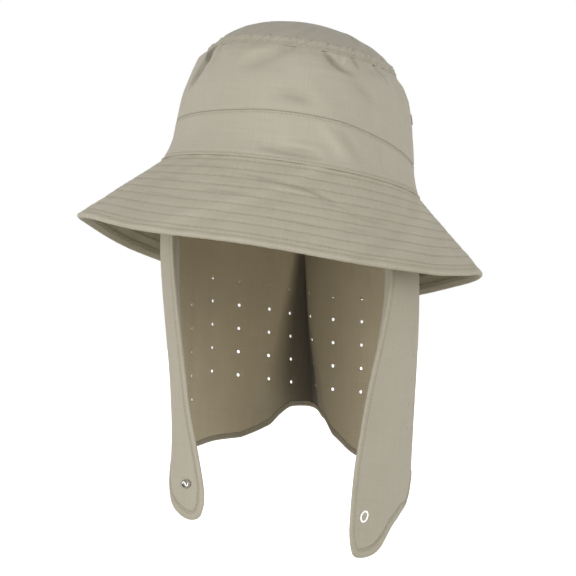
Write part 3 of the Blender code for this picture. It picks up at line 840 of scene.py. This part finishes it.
def spun_thread(name, light, dark):
    """Spun polyester sewing thread: a soft sheen, with a twist too fine to show."""
    material, tree, shader = new_material(name)
    solid = add_node(tree, "ShaderNodeTexCoord").outputs["Object"]
    noise = add_node(tree, "ShaderNodeTexNoise", {}, {
        "Vector": solid, "Scale": 900.0, "Detail": 2.0}).outputs["Fac"]
    ramp = add_node(tree, "ShaderNodeValToRGB", {}, {"Fac": noise})
    ramp.color_ramp.elements[0].position = 0.3
    ramp.color_ramp.elements[0].color = linear(dark)
    ramp.color_ramp.elements[1].position = 0.7
    ramp.color_ramp.elements[1].color = linear(light)
    tree.links.new(ramp.outputs["Color"], shader.inputs["Base Color"])
    shader.inputs["Roughness"].default_value = 0.6
    shader.inputs["Sheen Weight"].default_value = 0.2
    return material


def plated_metal(name, colour, roughness, scale=900.0):
    """Pressed and plated brass: smooth and bright, with faint rubbing marks."""
    material, tree, shader = new_material(name)
    solid = add_node(tree, "ShaderNodeTexCoord").outputs["Object"]
    noise = add_node(tree, "ShaderNodeTexNoise", {}, {
        "Vector": solid, "Scale": scale, "Detail": 4.0}).outputs["Fac"]
    rough = add_node(tree, "ShaderNodeMapRange", {}, {
        "Value": noise, "From Min": 0.3, "From Max": 0.7,
        "To Min": roughness * 0.8, "To Max": roughness * 1.3}).outputs["Result"]
    tree.links.new(rough, shader.inputs["Roughness"])
    bump = add_node(tree, "ShaderNodeBump", {}, {
        "Strength": 0.15, "Distance": 0.00005, "Height": noise})
    tree.links.new(bump.outputs["Normal"], shader.inputs["Normal"])
    shader.inputs["Base Color"].default_value = linear(colour)
    shader.inputs["Metallic"].default_value = 1.0
    return material


CROWN_FABRIC = woven_cloth("khaki plain-woven crown cloth", "#C2BCAC", "#B6AF9E")
BRIM_FABRIC = woven_cloth("khaki quilted brim cloth", "#C3BCAB", "#B3AC99", relief=0.4)
# the brim's facing and its thread are drawn darker and greener than the brim's khaki, partly
# painted shade for the underside of the brim
FACING_FABRIC = woven_cloth("brim facing cloth, darker and greener, partly painted shade", "#B0AA93", "#9E9882", relief=0.5)
FLAP_FABRIC = woven_cloth("khaki thin flap cloth", "#C4BDAC", "#B6AF9D", shaded=False)
# the same cloth as the flap's outer face, drawn lighter and warmer inside as painted light for
# what shines through the thin cloth and bounces inside the hat, and darkened by the painted
# shadow of the centre back fold
INNER_FABRIC = woven_cloth("khaki thin flap cloth, inner face", "#D5CAB0", "#C6BBA1")
HEM_FABRIC = woven_cloth("khaki folded hem cloth", "#C4BDAB", "#B5AE9B")
KHAKI_THREAD = spun_thread("khaki polyester thread", "#C2B8A2", "#A2987F")
HEM_THREAD = spun_thread("dull khaki polyester thread", "#B2A994", "#978D77")
FACING_THREAD = spun_thread("olive polyester thread", "#A39C84", "#857E66")
NICKEL = plated_metal("nickel plated brass", "#DEDCD4", 0.20)
WHITE_METAL = plated_metal("bright tinned brass", "#F7F6F2", 0.30)
DULL_METAL = plated_metal("dull grey brass", "#8F8C82", 0.45)
DARK_PLATE = plated_metal("dark plated brass", "#4A463C", 0.38)


# The crown

ROUND = np.linspace(0.0, 360.0, 420, endpoint=False)


def closed_lengths(radius):
    """Distances round a ring, in metres, with the last one closing it."""
    return np.append(np.radians(ROUND), 2.0 * math.pi) * radius


def make_crown():
    edge = 1.0 - np.linspace(0.0, 0.09, 23)
    inner = np.linspace(0.905, 0.03, 34)
    distances = np.concatenate([edge, inner])
    angle, distance = np.meshgrid(ROUND, distances)
    points = dome_surface(angle, distance)
    pole = points[-1].mean(axis=0)
    lengths = (closed_lengths(0.070), (1.0 - distances) * 0.075)
    mesh = grid_mesh("crown_top_cloth", points, lengths, pole=pole)
    # painted shade: the crown's top is drawn darker, as the front light reaches it less, with a
    # faint random mottle; the stitched strip by the seam gets less of this painted shade, by a
    # wavering amount
    fading = smooth_step(distance / 0.9) ** 2
    mottle = 0.13 + 0.05 * fading * wander(angle * 1.2 + distance * 60.0, 21.0, 31)
    strip = np.exp(-((distance - 0.958) / 0.030) ** 2)
    mottle = mottle - strip * (0.07 - 0.07 * wander(angle * 1.2 + distance * 90.0, 6.0, 37))
    set_shade(mesh, np.append(mottle, 0.13))
    piece = new_piece("crown_top_cloth", mesh, CROWN_FABRIC, "crown_cloth", "crown_top")
    thicken(piece, CROWN_CLOTH)

    shares = np.concatenate([np.linspace(0.0, 0.08, 7)[:-1], np.linspace(0.08, 0.90, 30),
                             np.linspace(0.90, 1.0, 11)[1:]])
    angle, share = np.meshgrid(ROUND, shares)
    seam = band_seam(angle)
    height = seam + (TOP_SEAM - GAP * 0.5 - seam) * share
    mesh = grid_mesh("upper_band_cloth", crown_side(angle, height),
                     (closed_lengths(0.086), shares * UPPER_BAND_HEIGHT))
    set_shade(mesh, crown_shade(angle, height))
    piece = new_piece("upper_band_cloth", mesh, CROWN_FABRIC, "crown_cloth",
                      "crown_upper_band")
    thicken(piece, CROWN_CLOTH)

    shares = np.concatenate([np.linspace(0.0, 0.16, 11)[:-1], np.linspace(0.16, 0.88, 22),
                             np.linspace(0.88, 1.0, 9)[1:]])
    angle, share = np.meshgrid(ROUND, shares)
    height = (band_seam(angle) - GAP * 0.1) * share - 0.0006 * (1.0 - share) ** 8
    # the band's lower edge is folded in a low welt, with a furrow at its stitching
    welt = (0.00095 * np.exp(-((height - 0.0003) / 0.0008) ** 2)
            - 0.00070 * np.exp(-((height - 0.0020) / 0.0006) ** 2)
            - 0.00030 * np.exp(-((band_seam(angle) - height - 0.0015) / 0.0007) ** 2))
    mesh = grid_mesh("lower_band_cloth", crown_side(angle, height, welt),
                     (closed_lengths(0.092), shares * LOWER_BAND_HEIGHT))
    set_shade(mesh, crown_shade(angle, height))
    piece = new_piece("lower_band_cloth", mesh, CROWN_FABRIC, "crown_cloth",
                      "crown_lower_band")
    thicken(piece, CROWN_CLOTH)

    loop = np.append(ROUND, 360.0)
    out = outward(loop) @ LEAN.T
    runs = []
    for distance in (0.978, 0.938):
        place = np.full_like(loop, distance)
        runs.append((dome_surface(loop, place, 0.00010), dome_normal(loop, place) @ LEAN.T))
    runs.append((crown_side(loop, band_seam(loop) - 0.0015, -0.00018), out))
    runs.append((crown_side(loop, np.full_like(loop, 0.0020), -0.00055), out))
    stitches("crown_stitching", runs, KHAKI_THREAD, "crown_cloth")


# The brim

def make_brim():
    rows = []
    shades = []
    fine = np.linspace(0.0, 1.0, 98)
    _, width = brim_slope(ROUND)
    for share in fine:
        along = (width - RIM_ROLL) * share
        rows.append(brim_surface(ROUND, along))
        # painted shade down in the stitched furrows and creases, a faint painted highlight on the
        # puckers
        shades.append(np.clip(-brim_relief(ROUND, along) * 160.0, -0.08, 0.35))
    turns = np.concatenate([np.linspace(0.0, 1.0, 13)[1:], [1.5, 2.0]])
    for turn in turns:
        rows.append(rim_profile(ROUND, np.full_like(ROUND, turn)))
        # the rolled edge is drawn a little lighter
        shades.append(np.full_like(ROUND, -0.05))
    points = np.array(rows)[::-1]
    lengths = np.concatenate([fine * BRIM_WIDTH, BRIM_WIDTH + turns * 0.005])[::-1]
    mesh = grid_mesh("brim_cloth", points, (closed_lengths(0.115), lengths))
    set_shade(mesh, np.array(shades)[::-1])
    piece = new_piece("brim_cloth", mesh, BRIM_FABRIC, "brim_cloth", "brim")
    thicken(piece, BRIM_CLOTH)

    rows = []
    shades = []
    shares = np.linspace(0.0, 1.0, 80)
    below = 0.0018
    for share in shares:
        along = 0.0012 + (width - 0.0012 - 0.0052) * share
        relief = brim_relief(ROUND, along)
        rows.append(brim_point(ROUND, along, below - relief * 1.3) @ LEAN.T)
        # painted shade down in the facing's stitched furrows
        shades.append(np.clip(-relief * 500.0, -0.1, 0.6))
    mesh = grid_mesh("brim_facing_cloth", np.array(rows)[::-1],
                     (closed_lengths(0.112), shares[::-1] * BRIM_WIDTH))
    set_shade(mesh, np.array(shades)[::-1])
    piece = new_piece("brim_facing_cloth", mesh, FACING_FABRIC, "facing_cloth", "brim_facing")
    thicken(piece, 0.0009)

    loop = np.append(ROUND, 360.0)
    slope, width = brim_slope(loop)
    out = outward(loop)
    level = np.sum(slope * out, axis=-1)
    under = out * slope[..., 2:3]
    under[..., 2] -= level
    above = -under @ LEAN.T
    scale = width / (BRIM_WIDTH * 0.985)
    upper_runs = []
    lower_runs = []
    for row in brim_rows():
        along = row * scale
        upper_runs.append((brim_surface(loop, along, 0.00012), above))
        depth = np.full_like(loop, 0.0018 + 0.0009 + 0.0002)
        depth = depth + 0.00040
        lower_runs.append((brim_point(loop, along, depth) @ LEAN.T, -above))
    rim = width - 0.0040
    upper_runs.append((brim_surface(loop, rim, 0.00010), above))
    stitches("brim_stitching", upper_runs, KHAKI_THREAD, "brim_cloth")
    stitches("brim_facing_stitching", lower_runs, FACING_THREAD, "facing_cloth")


# The neck flap

def hole_columns():
    reach = HOLE_BACK_COLUMNS + HOLE_SIDE_COLUMNS
    return [index * HOLE_COLUMN_PITCH / FLAP_HALF_SEAM for index in range(-reach, reach + 1)]


def row_shift(station):
    back_edge = HOLE_BACK_COLUMNS * HOLE_COLUMN_PITCH / FLAP_HALF_SEAM
    cell = HOLE_DIAMETER * 0.85 / FLAP_HALF_SEAM
    pitch = HOLE_COLUMN_PITCH / FLAP_HALF_SEAM
    travel = (abs(station) - back_edge - cell) / (pitch - 2.0 * cell)
    return HOLE_SIDE_STEP * float(smooth_step(travel))


def flap_columns():
    """Stations of the fine mesh's columns, and which of them run through holes."""
    cell = HOLE_DIAMETER * 0.85 / FLAP_HALF_SEAM
    anchors = []
    holed = set()
    for column in hole_columns():
        anchors.extend((column - cell, column, column + cell))
        holed.add(round(column, 9))
    anchors = [-1.0] + anchors + [1.0]
    stations = []
    for left, right in zip(anchors, anchors[1:]):
        count = max(1, round((right - left) * FLAP_HALF_SEAM / 0.0018))
        stations.extend(left + (right - left) * step / count for step in range(count))
    stations.append(1.0)
    return np.array(stations), holed


def flap_rows(station, hem):
    """Depths of the fine mesh's rows here, and the numbers of the rows of holes."""
    cell = HOLE_DIAMETER * 0.85
    shift = row_shift(station)
    depths = list(np.linspace(0.0, HOLE_FIRST_ROW + shift - cell, 26))
    hole_rows = []
    for row in range(HOLE_ROWS):
        middle = HOLE_FIRST_ROW + shift + row * HOLE_ROW_PITCH
        if row:
            depths.extend(np.linspace(depths[-1], middle - cell, 7)[1:])
        hole_rows.append(len(depths))
        depths.extend((middle, middle + cell))
    depths.extend(np.linspace(depths[-1], hem - 0.0003, 50)[1:])
    return depths, hole_rows


HEM_STITCH_INSET = 0.0009
HALF_CLOTH = FLAP_CLOTH / 2.0

# One side of the hem's section, from inside the cloth to its edge: (share of the hem's
# width, metres further in, metres from the middle of the cloth, painted shade in its furrows)
HEM_PROFILE = [
    (1.0, 0.00005, HALF_CLOTH - 0.0003, 0.35),
    (1.0, 0.00000, HALF_CLOTH + 0.00020, 0.30),
    (1.0, -0.00025, HALF_CLOTH + 0.00042, 0.00),
    (1.0, -0.00055, HALF_CLOTH + 0.00040, 0.00),
    (1.0, -0.00090, HALF_CLOTH + 0.00002, 0.30),
    (1.0, -0.00125, HALF_CLOTH + 0.00044, 0.00),
    (1.0, -0.00165, HALF_CLOTH + 0.00044, 0.00),
    (1.0, -0.00195, HALF_CLOTH + 0.00012, 0.30),
    (1.0, -0.00225, HALF_CLOTH + 0.00044, 0.00),
    (0.0, 0.00055, HALF_CLOTH + 0.00044, 0.00),
    (0.0, -0.00005, HALF_CLOTH + 0.00010, 0.00),
    (0.0, -0.00030, HALF_CLOTH * 0.4, 0.00),
]


def flap_outline():
    """The flap's lower edge and front edges, flat, in metres: across, and down."""
    stations = np.linspace(-1.0, 1.0, 1600)
    across = stations * FLAP_HALF_SEAM
    down = hem_depth(stations)
    left = np.linspace(0.0, down[0], 120)[:-1]
    right = np.linspace(down[-1], 0.0, 120)[1:]
    return (np.concatenate([np.full(len(left), -FLAP_HALF_SEAM), across,
                            np.full(len(right), FLAP_HALF_SEAM)]),
            np.concatenate([left, down, right]))


def hem_width(station):
    """The hem is wider on the tabs and front edges than at the back."""
    return BACK_HEM + (TAB_HEM - BACK_HEM) * smooth_step((np.abs(station) - 0.62) / 0.10)


def make_flap():
    stations, holed = flap_columns()
    hems = hem_depth(stations)
    depths = []
    for station, hem in zip(stations, hems):
        column, hole_rows = flap_rows(station, hem)
        depths.append(column)
    depths = np.array(depths)
    across = np.repeat(stations[:, None], depths.shape[1], axis=1)
    points = flap_middle(across, depths)
    tall = depths.shape[1]
    vertices = [tuple(point) for point in points.reshape(-1, 3)]
    flat = list(zip((across * FLAP_HALF_SEAM).ravel(), depths.ravel()))
    faces = []
    sides = 16
    radius = HOLE_DIAMETER * 0.5
    turns = np.arange(sides) * 2.0 * math.pi / sides
    skipped = set()
    for column, station in enumerate(stations):
        if round(station, 9) not in holed:
            continue
        for row in hole_rows:
            skipped.update(((column - 1, row - 1), (column, row - 1),
                            (column - 1, row), (column, row)))
            ring_station = station + radius * np.cos(turns) / FLAP_HALF_SEAM
            ring_depth = depths[column, row] - radius * np.sin(turns)
            ring = flap_middle(ring_station, ring_depth)
            first = len(vertices)
            vertices.extend(tuple(point) for point in ring)
            flat.extend(zip(ring_station * FLAP_HALF_SEAM, ring_depth))
            border = [(column + 1, row), (column + 1, row - 1), (column, row - 1),
                      (column - 1, row - 1), (column - 1, row), (column - 1, row + 1),
                      (column, row + 1), (column + 1, row + 1)]
            border = [place[0] * tall + place[1] for place in border]
            for step in range(8):
                near = first + 2 * step
                middle = first + 2 * step + 1
                far = first + (2 * step + 2) % sides
                faces.append((border[step], near, middle))
                faces.append((border[step], middle, border[(step + 1) % 8]))
                faces.append((middle, far, border[(step + 1) % 8]))
    for column in range(len(stations) - 1):
        for row in range(tall - 1):
            if (column, row) in skipped:
                continue
            faces.append((column * tall + row, column * tall + row + 1,
                          (column + 1) * tall + row + 1, (column + 1) * tall + row))
    used = sorted({index for face in faces for index in face})
    renumber = {old: new for new, old in enumerate(used)}
    mesh = bpy.data.meshes.new("neck_flap_cloth")
    mesh.from_pydata([vertices[index] for index in used], [],
                     [tuple(renumber[index] for index in face) for face in faces])
    builder = bmesh.new()
    builder.from_mesh(mesh)
    bmesh.ops.recalc_face_normals(builder, faces=builder.faces)
    builder.faces.ensure_lookup_table()
    middle = builder.faces[len(builder.faces) // 2]
    away = middle.calc_center_median()
    if middle.normal.dot(Vector((away.x, away.y, 0.0))) < 0.0:
        bmesh.ops.reverse_faces(builder, faces=builder.faces)
    builder.to_mesh(mesh)
    builder.free()
    flat = np.array([flat[index] for index in used])
    layer = mesh.uv_layers.new(name="cloth")
    corners = np.empty(len(mesh.loops), int)
    mesh.loops.foreach_get("vertex_index", corners)
    layer.data.foreach_set("uv", flat[corners].ravel())
    mesh.shade_smooth()
    piece = new_piece("neck_flap_cloth", mesh, FLAP_FABRIC, "flap_cloth", "neck_flap")
    # the inner face gets its own material, with painted light and the painted shadow of the fold
    mesh.materials.append(INNER_FABRIC)
    set_shade(mesh, fold_shade(flat[:, 0] / FLAP_HALF_SEAM, flat[:, 1]))
    thicken(piece, FLAP_CLOTH, 0.0)
    piece.modifiers["cloth thickness"].material_offset = 1
    return piece


def edge_frames():
    """Places along the free edges, with the flat direction into the cloth at each."""
    edge_x, edge_y = flap_outline()
    travelled = np.concatenate([[0.0], np.cumsum(np.hypot(np.diff(edge_x), np.diff(edge_y)))])
    places = np.linspace(0.0, travelled[-1], 820)
    x = np.interp(places, travelled, edge_x)
    y = np.interp(places, travelled, edge_y)
    run = np.stack([np.gradient(x), np.gradient(y)], 1)
    soft = np.hanning(9) / np.hanning(9).sum()
    run = np.stack([np.convolve(np.pad(run[:, axis], 4, mode="edge"), soft, mode="valid")
                    for axis in (0, 1)], 1)
    run /= np.linalg.norm(run, axis=1)[:, None]
    return x, y, np.stack([run[:, 1], -run[:, 0]], 1)


def off_edge(frames, inwards, lift):
    """Points this far in from the free edges, lifted from the middle of the cloth."""
    x, y, inward = frames
    station = np.clip((x + inward[:, 0] * inwards) / FLAP_HALF_SEAM, -1.02, 1.02)
    depth = np.maximum(y + inward[:, 1] * inwards, 0.0)
    return flap_middle(station, depth, lift), flap_normal(station, depth)


def make_hem_fold():
    """The hem: the cloth folded over along the back, the tabs and the front edges."""
    frames = edge_frames()
    width = hem_width(frames[0] / FLAP_HALF_SEAM)
    rows = []
    shades = []
    for share, inset, lift, dark in HEM_PROFILE:
        points, _ = off_edge(frames, width * share + inset, lift)
        rows.append(points)
        shades.append(np.full(len(width), dark))
    # the inner side is drawn darker still, painted shade inside the flap
    for share, inset, lift, dark in reversed(HEM_PROFILE):
        points, _ = off_edge(frames, width * share + inset, -lift)
        rows.append(points)
        shades.append(np.full(len(width), 0.16 + dark))
    rows.append(rows[0])
    shades.append(shades[0])
    travelled = np.linspace(0.0, 0.9, len(rows[0]))
    around_hem = np.linspace(0.0, 0.011, len(rows))
    mesh = grid_mesh("flap_hem_fold", np.array(rows), (travelled, around_hem), closed=False)
    set_shade(mesh, np.array(shades))
    builder = bmesh.new()
    builder.from_mesh(mesh)
    bmesh.ops.remove_doubles(builder, verts=builder.verts, dist=0.00001)
    bmesh.ops.holes_fill(builder, edges=builder.edges)
    bmesh.ops.recalc_face_normals(builder, faces=builder.faces)
    builder.to_mesh(mesh)
    builder.free()
    mesh.shade_smooth()
    hem = new_piece("flap_hem_fold", mesh, HEM_FABRIC, "flap_cloth")

    row = width - HEM_STITCH_INSET
    outer, normal = off_edge(frames, row, FLAP_CLOTH / 2.0 + 0.00026)
    inner, _ = off_edge(frames, row, -FLAP_CLOTH / 2.0 - 0.00026)
    sewn = stitches("flap_hem_stitching", [(outer, normal), (inner, -normal)], HEM_THREAD,
                    "flap_cloth")
    return hem, sewn


def make_front_facings():
    """The front edges turn in: a narrow facing stands off each edge under the brim."""
    pieces = []
    for name, side in (("front_facing_right", -1.0), ("front_facing_left", 1.0)):
        depths = np.linspace(0.006, 0.135, 60)
        widths = np.interp(depths, (0.0, 0.045, 0.080, 0.105, 0.135),
                           (0.0070, 0.0068, 0.0048, 0.0024, 0.0012))
        edge = flap_middle(np.full_like(depths, side), depths)
        inner = flap_middle(np.full_like(depths, side * 0.985), depths)
        back = inner - edge
        back /= np.linalg.norm(back, axis=1)[:, None]
        normal = flap_normal(np.full_like(depths, side), depths)
        opened = np.radians(np.interp(depths, (0.0, 0.06, 0.10, 0.135),
                                      (58.0, 62.0, 40.0, 12.0)))
        rows = []
        shares = np.linspace(0.0, 1.0, 9)
        for share in shares:
            curl = opened * smooth_step(np.full_like(opened, share * 1.6))
            out = widths * share
            direction = back * np.cos(curl)[:, None] - normal * np.sin(curl)[:, None]
            rows.append(edge - normal * 0.0005 + direction * out[:, None])
        points = np.array(rows)
        if side < 0.0:
            points = points[::-1]
        mesh = grid_mesh(name, points, (depths, shares * 0.007), closed=False)
        piece = new_piece(name, mesh, FLAP_FABRIC, "flap_cloth")
        thicken(piece, 0.0010, 0.0)
        pieces.append(piece)
    return pieces


# Snaps and eyelets

SOCKET_OVAL = 0.58           # the spring socket is pressed oval
RING_OVAL = 0.80             # and so, less, is the ring on the other tab


def place_piece(piece, middle, turn):
    """Turns and moves a finished piece's mesh, so that its object stays at the origin."""
    matrix = Matrix.Translation(middle) @ turn.to_4x4()
    piece.data.transform(matrix)
    piece.matrix_world = Matrix.Identity(4)


def flap_frame(station, depth):
    """Place and turn of a snap on the flap, its +Z away from the head."""
    spot = np.array([station])
    level = np.array([depth])
    middle = flap_middle(spot, level)[0]
    away = Vector(flap_normal(spot, level)[0])
    down = flap_outer(spot, level + 0.004)[0] - flap_outer(spot, level - 0.004)[0]
    down = Vector(down).normalized()
    side = down.cross(away).normalized()
    turn = Matrix((side, away.cross(side), away)).transposed()
    return Vector(middle), turn


def turned_ring(name, outer, bore, height, material, oval_share=1.0):
    """A pressed ring: a disc whose middle is cut out, with rounded edges."""
    bpy.ops.mesh.primitive_cylinder_add(vertices=64, radius=outer, depth=height,
                                        location=(0.0, 0.0, height / 2.0))
    piece = bpy.context.object
    piece.name = name
    bpy.ops.object.mode_set(mode="EDIT")
    bpy.ops.mesh.select_mode(type="FACE")
    bpy.ops.mesh.select_all(action="DESELECT")
    bpy.ops.object.mode_set(mode="OBJECT")
    for face in piece.data.polygons:
        face.select = abs(face.normal.z) > 0.9
    bpy.ops.object.mode_set(mode="EDIT")
    bpy.ops.mesh.inset(thickness=outer - bore)
    bpy.ops.mesh.bridge_edge_loops()
    bpy.ops.mesh.select_all(action="SELECT")
    bpy.ops.transform.resize(value=(1.0, oval_share, 1.0))
    bpy.ops.mesh.normals_make_consistent(inside=False)
    bpy.ops.object.mode_set(mode="OBJECT")
    bpy.ops.object.transform_apply(location=True, rotation=True, scale=True)
    bevel = piece.modifiers.new("rounded edge", "BEVEL")
    bevel.width = min(height, outer - bore) * 0.22
    bevel.segments = 4
    bevel.limit_method = "ANGLE"
    bpy.ops.object.modifier_apply(modifier=bevel.name)
    bpy.ops.object.shade_smooth_by_angle(angle=math.radians(40))
    piece.data.name = name
    piece.data.materials.append(material)
    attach(piece, "root")
    piece.select_set(False)
    return piece


def domed_disc(name, radius, height, material, oval_share=1.0):
    """A pressed cap: a flattened dome, closed underneath."""
    bpy.ops.mesh.primitive_uv_sphere_add(segments=48, ring_count=24, radius=radius)
    piece = bpy.context.object
    piece.name = name
    bpy.ops.object.mode_set(mode="EDIT")
    bpy.ops.mesh.select_all(action="SELECT")
    bpy.ops.mesh.bisect(plane_co=(0.0, 0.0, 0.0), plane_no=(0.0, 0.0, 1.0), use_fill=True,
                        clear_inner=True)
    bpy.ops.mesh.select_all(action="SELECT")
    bpy.ops.transform.resize(value=(1.0, oval_share, height / radius),
                             center_override=(0.0, 0.0, 0.0))
    bpy.ops.mesh.normals_make_consistent(inside=False)
    bpy.ops.object.mode_set(mode="OBJECT")
    bpy.ops.object.transform_apply(location=True, rotation=True, scale=True)
    bpy.ops.object.shade_smooth_by_angle(angle=math.radians(40))
    piece.data.name = name
    piece.data.materials.append(material)
    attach(piece, "root")
    piece.select_set(False)
    return piece


def spring_curl(name, middle, opening, material):
    """One of the two curls of the socket's spring: half a ring of round wire."""
    bpy.ops.mesh.primitive_torus_add(major_radius=0.00135, minor_radius=0.00048,
                                     major_segments=36, minor_segments=12, location=middle)
    piece = bpy.context.object
    piece.name = name
    bpy.ops.object.mode_set(mode="EDIT")
    bpy.ops.mesh.select_all(action="SELECT")
    bpy.ops.mesh.bisect(plane_co=middle, plane_no=(0.25, opening, 0.0), use_fill=True,
                        clear_outer=True)
    bpy.ops.mesh.select_all(action="SELECT")
    bpy.ops.mesh.normals_make_consistent(inside=False)
    bpy.ops.object.mode_set(mode="OBJECT")
    bpy.ops.object.transform_apply(location=True, rotation=True, scale=True)
    bpy.ops.object.shade_smooth_by_angle(angle=math.radians(40))
    piece.data.name = name
    piece.data.materials.append(material)
    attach(piece, "root")
    piece.select_set(False)
    return piece


def make_snaps():
    station = 1.0 - SNAP_FROM_EDGE / FLAP_HALF_SEAM
    face = FLAP_CLOTH / 2.0
    upside_down = Matrix.Rotation(math.pi, 3, "X")
    made = []

    middle, turn = flap_frame(-station, SNAP_DEPTH)
    away = turn.col[2]
    ring = turned_ring("snap_socket_rim", 0.0050, 0.0039, 0.0009, DULL_METAL,
                       SOCKET_OVAL)
    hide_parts("snap_socket")
    place_piece(ring, middle + away * face, turn)
    bed = domed_disc("snap_socket_bed", 0.0042, 0.0003, DULL_METAL, SOCKET_OVAL)
    place_piece(bed, middle + away * face, turn)
    made.extend((ring, bed))
    for number, side in enumerate((-1.0, 1.0)):
        curl = spring_curl("snap_socket_spring_%d" % (number + 1), (side * 0.00132, 0.0, 0.0),
                           side, WHITE_METAL)
        place_piece(curl, middle + away * (face + 0.0007), turn)
        made.append(curl)
    back = turned_ring("snap_socket_back_ring", 0.0044, 0.0031, 0.0008, NICKEL)
    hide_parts("snap_socket_back")
    place_piece(back, middle - away * face, turn @ upside_down)
    made.append(back)

    middle, turn = flap_frame(station, SNAP_DEPTH)
    away = turn.col[2]
    ring = turned_ring("snap_ring_front", 0.0042, 0.0029, 0.0009, WHITE_METAL,
                       RING_OVAL)
    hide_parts("snap_ring")
    place_piece(ring, middle + away * face, turn @ Matrix.Rotation(math.radians(55.0), 3, "Z"))
    base = turned_ring("snap_stud_base", 0.0044, 0.0012, 0.0007, NICKEL)
    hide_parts("snap_stud")
    place_piece(base, middle - away * face, turn @ upside_down)
    stud = domed_disc("snap_stud_head", 0.0020, 0.0026, NICKEL)
    place_piece(stud, middle - away * face, turn @ upside_down)
    made.extend((ring, base, stud))
    return made


def make_eyelets():
    height = LOWER_BAND_HEIGHT + EYELET_ABOVE_BAND_SEAM
    for side, angle in (("left", EYELET_ANGLE), ("right", 180.0 - EYELET_ANGLE)):
        spot = np.array([angle])
        level = np.array([height])
        middle = crown_side(spot, level)[0]
        across = crown_side(spot + 0.6, level)[0] - crown_side(spot - 0.6, level)[0]
        up = crown_side(spot, level + 0.001)[0] - crown_side(spot, level - 0.001)[0]
        away = Vector(np.cross(across, up)).normalized()
        along = Vector(up).normalized().cross(away).normalized()
        turn = Matrix((along, away.cross(along), away)).transposed()
        ring = turned_ring("vent_eyelet_%s_rim" % side, 0.0036, 0.0017, 0.0007, DARK_PLATE)
        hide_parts("vent_eyelet_%s" % side)
        place_piece(ring, Vector(middle) - away * 0.0003, turn)


# Floor, light and camera

CAMERA_AZIMUTH = 8.0
CAMERA_ELEVATION = -1.0
CAMERA_DISTANCE = 1.5
CAMERA_LENS = 140.6          # 1.5 pixels to a millimetre at the hat, in the photo's frame
FLOOR_HEIGHT = -0.42
AMBIENT = 0.88               # the studio's even light on the hat, from the sides
OVERHEAD = 0.26              # the same from straight above

# (name, place, size of the square, power in watts)
SOFT_LIGHTS = [
    ("key softbox", (-1.8, -2.0, 0.30), 1.0, 22.0),
    ("fill softbox", (2.1, -1.7, 0.00), 1.4, 22.0),
]


def make_stage():
    """A white room: lit evenly, and pure white to the camera and in the metal."""
    bpy.ops.mesh.primitive_plane_add(size=60.0, location=(0.0, 0.0, FLOOR_HEIGHT))
    floor = bpy.context.object
    floor.name = "studio_floor"
    material, tree, shader = new_material("matt white studio floor")
    path = add_node(tree, "ShaderNodeLightPath")
    seen = add_node(tree, "ShaderNodeMath", {"operation": "MAXIMUM"}, {
        0: path.outputs["Is Camera Ray"], 1: path.outputs["Is Glossy Ray"]}).outputs["Value"]
    tree.links.new(seen, shader.inputs["Emission Strength"])
    shader.inputs["Emission Color"].default_value = linear("#FFFFFF")
    shader.inputs["Base Color"].default_value = linear("#E4E2DD")
    shader.inputs["Roughness"].default_value = 0.9
    floor.data.materials.append(material)
    floor.select_set(False)

    world = bpy.data.worlds.new("white studio")
    world.use_nodes = True
    tree = world.node_tree
    path = add_node(tree, "ShaderNodeLightPath")
    bright = add_node(tree, "ShaderNodeMath", {"operation": "MAXIMUM"}, {
        0: path.outputs["Is Camera Ray"], 1: path.outputs["Is Glossy Ray"]}).outputs["Value"]
    towards = add_node(tree, "ShaderNodeTexCoord").outputs["Generated"]
    height = add_node(tree, "ShaderNodeSeparateXYZ", {}, {"Vector": towards}).outputs["Z"]
    even = add_node(tree, "ShaderNodeMapRange", {}, {
        "Value": height, "To Min": AMBIENT, "To Max": OVERHEAD}).outputs["Result"]
    strength = add_node(tree, "ShaderNodeMath", {"operation": "MAXIMUM"}, {
        0: bright, 1: even}).outputs["Value"]
    shade = tree.nodes["Background"]
    shade.inputs["Color"].default_value = linear("#FFFFFF")
    tree.links.new(strength, shade.inputs["Strength"])
    bpy.context.scene.world = world
    bpy.context.scene.view_settings.view_transform = "Standard"

    for name, place, size, energy in SOFT_LIGHTS:
        light = bpy.data.lights.new(name, "AREA")
        light.shape = "SQUARE"
        light.size = size
        light.energy = energy
        item = bpy.data.objects.new(name, light)
        bpy.context.scene.collection.objects.link(item)
        item.location = place
        aim = Vector((0.0, 0.0, -0.05)) - Vector(place)
        item.rotation_euler = aim.to_track_quat("-Z", "Y").to_euler()


def make_camera():
    azimuth = math.radians(CAMERA_AZIMUTH)
    elevation = math.radians(CAMERA_ELEVATION)
    back = Vector((math.sin(azimuth) * math.cos(elevation),
                   -math.cos(azimuth) * math.cos(elevation), math.sin(elevation)))
    right = Vector((math.cos(azimuth), math.sin(azimuth), 0.0))
    aim = Vector((0.0, 0.0, -0.0710)) - right * 0.00187
    data = bpy.data.cameras.new("camera")
    data.lens = CAMERA_LENS
    data.sensor_width = 36.0
    camera = bpy.data.objects.new("camera", data)
    bpy.context.scene.collection.objects.link(camera)
    camera.location = aim + back * CAMERA_DISTANCE
    camera.rotation_euler = back.to_track_quat("Z", "Y").to_euler()
    bpy.context.scene.camera = camera


make_camera()
make_crown()
make_brim()
flap = make_flap()
hem_pieces = make_hem_fold()
facings = make_front_facings()
snaps = make_snaps()
make_eyelets()
make_stage()

bpy.context.view_layer.update()
